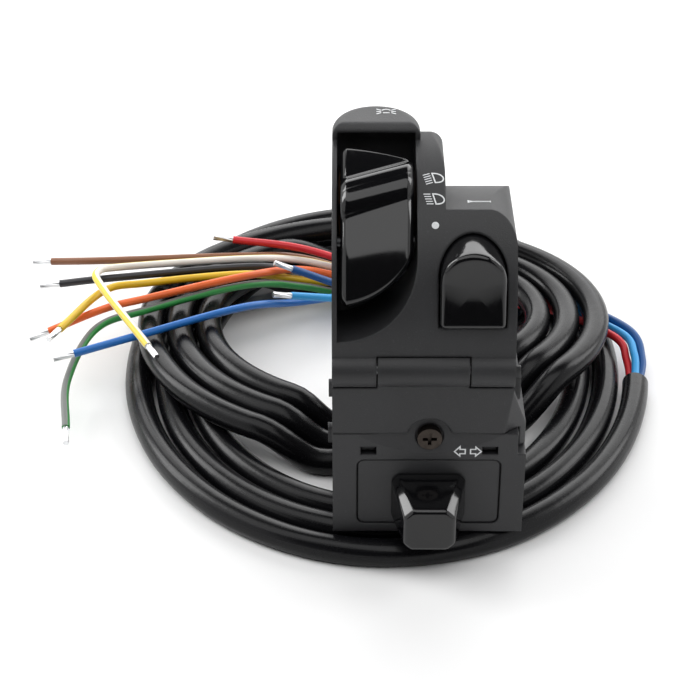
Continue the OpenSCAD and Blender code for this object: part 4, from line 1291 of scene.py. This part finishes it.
@dataclass
class Marks:
    """White pictograms on the tower, the horn block and the turn housing."""

    ink: PrintedInk = PrintedInk((0.82, 0.84, 0.85))
    arc: tuple[float, float] = (15.0, 3.0)
    arc_r: float = 39.0
    scallop: tuple[float, float] = (1.0, 9.0)
    scallop_r: float = 29.4
    ball_r: float = 150.0
    lean: float = 0.28

    def on_arc(self, x: float, angle: float) -> Place:
        """Points of a drawing on the tower's round front: up the drawing is up the arc.

        Args:
            x: where the drawing's middle lies.
            angle: its place on the arc, in degrees.

        Returns:
            The rule that puts points there.
        """
        def place(points: Array, height: float) -> Array:
            """Put points of the drawing over the round front.

            Args:
                points: the drawing's points.
                height: how far they stand over it.

            Returns:
                Points in space.
            """
            a = np.radians(angle) + points[:, 1] / self.arc_r
            r = self.arc_r + height
            return np.stack([x + points[:, 0], self.arc[0] - r * np.cos(a), self.arc[1] + r * np.sin(a)], -1)
        return place

    def on_top(self, x: float, y: float, z: float) -> Place:
        """Points of a drawing on a level face.

        Args:
            x: where the drawing's middle lies.
            y: how deep it lies.
            z: height of the face.

        Returns:
            The rule that puts points there.
        """
        def place(points: Array, height: float) -> Array:
            """Put points of the drawing over the level face.

            Args:
                points: the drawing's points.
                height: how far they stand over it.

            Returns:
                Points in space.
            """
            return np.stack([x + points[:, 0], y + points[:, 1], np.full(len(points), z + height)], -1)
        return place

    def on_front(self, x: float, y: float, z: float) -> Place:
        """Points of a drawing on the turn housing's front, which a large ball hollows out below the seam.

        Args:
            x: where the drawing's middle lies.
            y: depth of the flat front.
            z: height of the middle.

        Returns:
            The rule that puts points there.
        """
        def place(points: Array, height: float) -> Array:
            """Put points of the drawing over the hollowed front.

            Args:
                points: the drawing's points.
                height: how far they stand over it.

            Returns:
                Points in space.
            """
            across, up = x + points[:, 0], z + points[:, 1]
            off = (across - self.scallop[0]) ** 2 + (up - self.scallop[1]) ** 2
            hollow = np.sqrt(self.ball_r ** 2 - off) - np.sqrt(self.ball_r ** 2 - self.scallop_r ** 2)
            return np.stack([across, y + np.maximum(hollow, 0.0) - height, up], -1)
        return place

    def build(self) -> None:
        """Print each mark where it belongs."""
        white = self.ink.make("mark_white")
        upper, lower = (Body.UPPER, "shell_black"), (Body.LOWER, "housing_black")
        bowl = lamp_bowl(2.1, 2.5, self.lean)
        jobs = (
            ("mark_side_lamp", side_lamp(), self.on_top(-8.8, 17.1, 45.1), upper),
            ("mark_high_beam", (bowl, *rays(5, 1.5, 2.4, 0.5, self.lean)), self.on_arc(1.42, 64.5), upper),
            ("mark_low_beam", (bowl, *rays(5, 1.5, 2.4, 0.0, self.lean)), self.on_arc(1.48, 56.5), upper),
            ("mark_dot", spot(0.8), self.on_arc(1.6, 47.3), upper),
            ("mark_horn", trumpet(), self.on_top(11.5, -4.9, 34.0), upper),
            ("mark_arrow_left", (arrow(-1.0),), self.on_front(8.0, -24.0, -20.0), lower),
            ("mark_arrow_right", (arrow(1.0),), self.on_front(11.5, -24.0, -20.0), lower),
        )
        for name, strokes, place, (body, slot) in jobs:
            make_piece(name, [stroke.band(place) for stroke in strokes], white, body, slot, 30.0)


# Studio


@dataclass(frozen=True)
class Lamp:
    """A soft rectangular lamp: its place and size in metres and its power in watts."""

    name: str
    at: Triple
    size: tuple[float, float]
    power: float


@dataclass
class Studio:
    """Pale floor, dark canopy, soft lamps and the camera at the photograph's angle."""

    aim: Triple = (-17.0, -22.5, 6.5)
    distance: float = 418.0
    elevation: float = 33.0
    lens: float = 97.71
    soft_light: float = 0.38
    canopy_r: float = 1500.0
    canopy_half: float = 1500.0
    canopy_arc: tuple[float, float] = (-1.5, 135.0)
    floor_half: float = 3000.0
    lamps: tuple[Lamp, ...] = (
        Lamp("front_top", (-0.1, -0.27, 0.9), (1.9, 0.8), 9.4),
        Lamp("left", (-0.85, 0.3, 0.46), (0.4, 0.6), 5.4),
        Lamp("right", (0.85, 0.3, 0.46), (0.4, 0.6), 3.6),
        Lamp("back", (0.1, 0.95, 0.64), (1.7, 0.9), 12.5),
    )

    def camera(self) -> None:
        """Set the camera on a line that rises from the aim point by the elevation."""
        data = bpy.data.cameras.new("camera")
        data.lens = self.lens
        data.sensor_width = 36.0
        data.clip_start, data.clip_end = 0.01, 20.0
        camera = bpy.data.objects.new("camera", data)
        rise = np.radians(self.elevation)
        back = np.array([0.0, -np.cos(rise), np.sin(rise)])
        camera.location = Vector((np.array(self.aim) + self.distance * back) * MM)
        camera.rotation_euler = (np.pi / 2 - rise, 0.0, 0.0)
        bpy.context.collection.objects.link(camera)
        bpy.context.scene.camera = camera

    def light(self, lamp: Lamp) -> None:
        """Put up one lamp, turned to the object.

        Args:
            lamp: the lamp.
        """
        data = bpy.data.lights.new(lamp.name, "AREA")
        data.shape = "RECTANGLE"
        data.size, data.size_y = lamp.size
        data.energy = lamp.power
        made = bpy.data.objects.new(lamp.name, data)
        made.location = lamp.at
        made.rotation_euler = (Vector(self.aim) * MM - Vector(lamp.at)).to_track_quat("-Z", "Y").to_euler()
        bpy.context.collection.objects.link(made)

    def sheet(self, name: str, grid: Array, material: bpy.types.Material) -> bpy.types.Object:
        """An open sheet of the stage.

        Args:
            name: the sheet's name.
            grid: its points in millimetres, in rows.
            material: its finish.

        Returns:
            The sheet.
        """
        mesh = bpy.data.meshes.new(name)
        vertices, faces, _ = Patch(grid, closed=False, caps=(False, False)).parts(0)
        mesh.from_pydata((vertices * MM).tolist(), [], faces)
        mesh.materials.append(material)
        sheet = bpy.data.objects.new(name, mesh)
        bpy.context.collection.objects.link(sheet)
        log.info("%s: stage", name)
        return sheet

    def floor(self) -> None:
        """A wide flat floor, pale and faintly mottled, which keeps the object's shadow."""
        graph = Graph(bpy.data.materials.new("floor_white"))
        mottle = graph.noise(graph.place(), 3.0)
        material = graph.surface({
            "Base Color": graph.mix(mottle, (0.86, 0.86, 0.86, 1.0), (0.88, 0.88, 0.88, 1.0)),
            "Roughness": 0.6,
        })
        span = np.linspace(-self.floor_half, self.floor_half, 5)
        x, y = np.meshgrid(span, span)
        self.sheet("floor", np.stack([x, y, np.full_like(x, FLOOR_Z)], -1), material)

    def canopy(self) -> None:
        """A dark cloth round the camera's side and overhead, out of the camera's sight: a straight line
        across, carried along a circle about the object from the floor in front to high at the back."""
        graph = Graph(bpy.data.materials.new("canopy_black"))
        weave = graph.noise(graph.place(), 400.0)
        material = graph.surface({
            "Base Color": graph.mix(weave, (0.008, 0.008, 0.008, 1.0), (0.014, 0.014, 0.014, 1.0)),
            "Roughness": 0.95,
        })
        turn = np.radians(np.linspace(*self.canopy_arc, 60))[:, None]
        across = np.linspace(-self.canopy_half, self.canopy_half, 5)[None]
        grid = np.broadcast_arrays(
            across, -self.canopy_r * np.cos(turn), FLOOR_Z + self.canopy_r * np.sin(turn)
        )
        self.sheet("canopy", np.stack(grid, -1), material).visible_camera = False

    def sky(self) -> None:
        """White all round for camera, glossy and transmission rays, and soft light for the rest."""
        world = bpy.data.worlds.new("studio")
        graph = Graph(world)
        camera, gloss, clear = (
            graph.node("ShaderNodeLightPath", out=f"Is {kind} Ray")
            for kind in ("Camera", "Glossy", "Transmission")
        )
        seen = (camera + gloss + clear).ramp(0.0, 1.0)
        graph.finish("ShaderNodeOutputWorld", graph.node("ShaderNodeBackground", None, {
            "Color": (1.0, 1.0, 1.0, 1.0), "Strength": seen + (1.0 - seen) * self.soft_light,
        }))
        bpy.context.scene.world = world

    def build(self) -> None:
        """Put up the camera, the stage and the light."""
        bpy.context.scene.view_settings.view_transform = "Standard"
        self.camera()
        self.floor()
        self.canopy()
        self.sky()
        for lamp in self.lamps:
            self.light(lamp)


def main() -> None:
    """Build every piece in order."""
    logging.basicConfig(level=logging.INFO, format="%(name)s %(message)s")
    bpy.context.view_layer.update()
    Studio().build()
    Cables().build()
    materials = Casing().build()
    gloss = materials["button_black"]
    LightRocker().build(gloss)
    horn = HornButton()
    horn.build(gloss)
    horn.build_spring(materials["spring_steel"])
    TurnKnob().build(gloss)
    Marks().build()


if __name__ == "__main__":
    main()
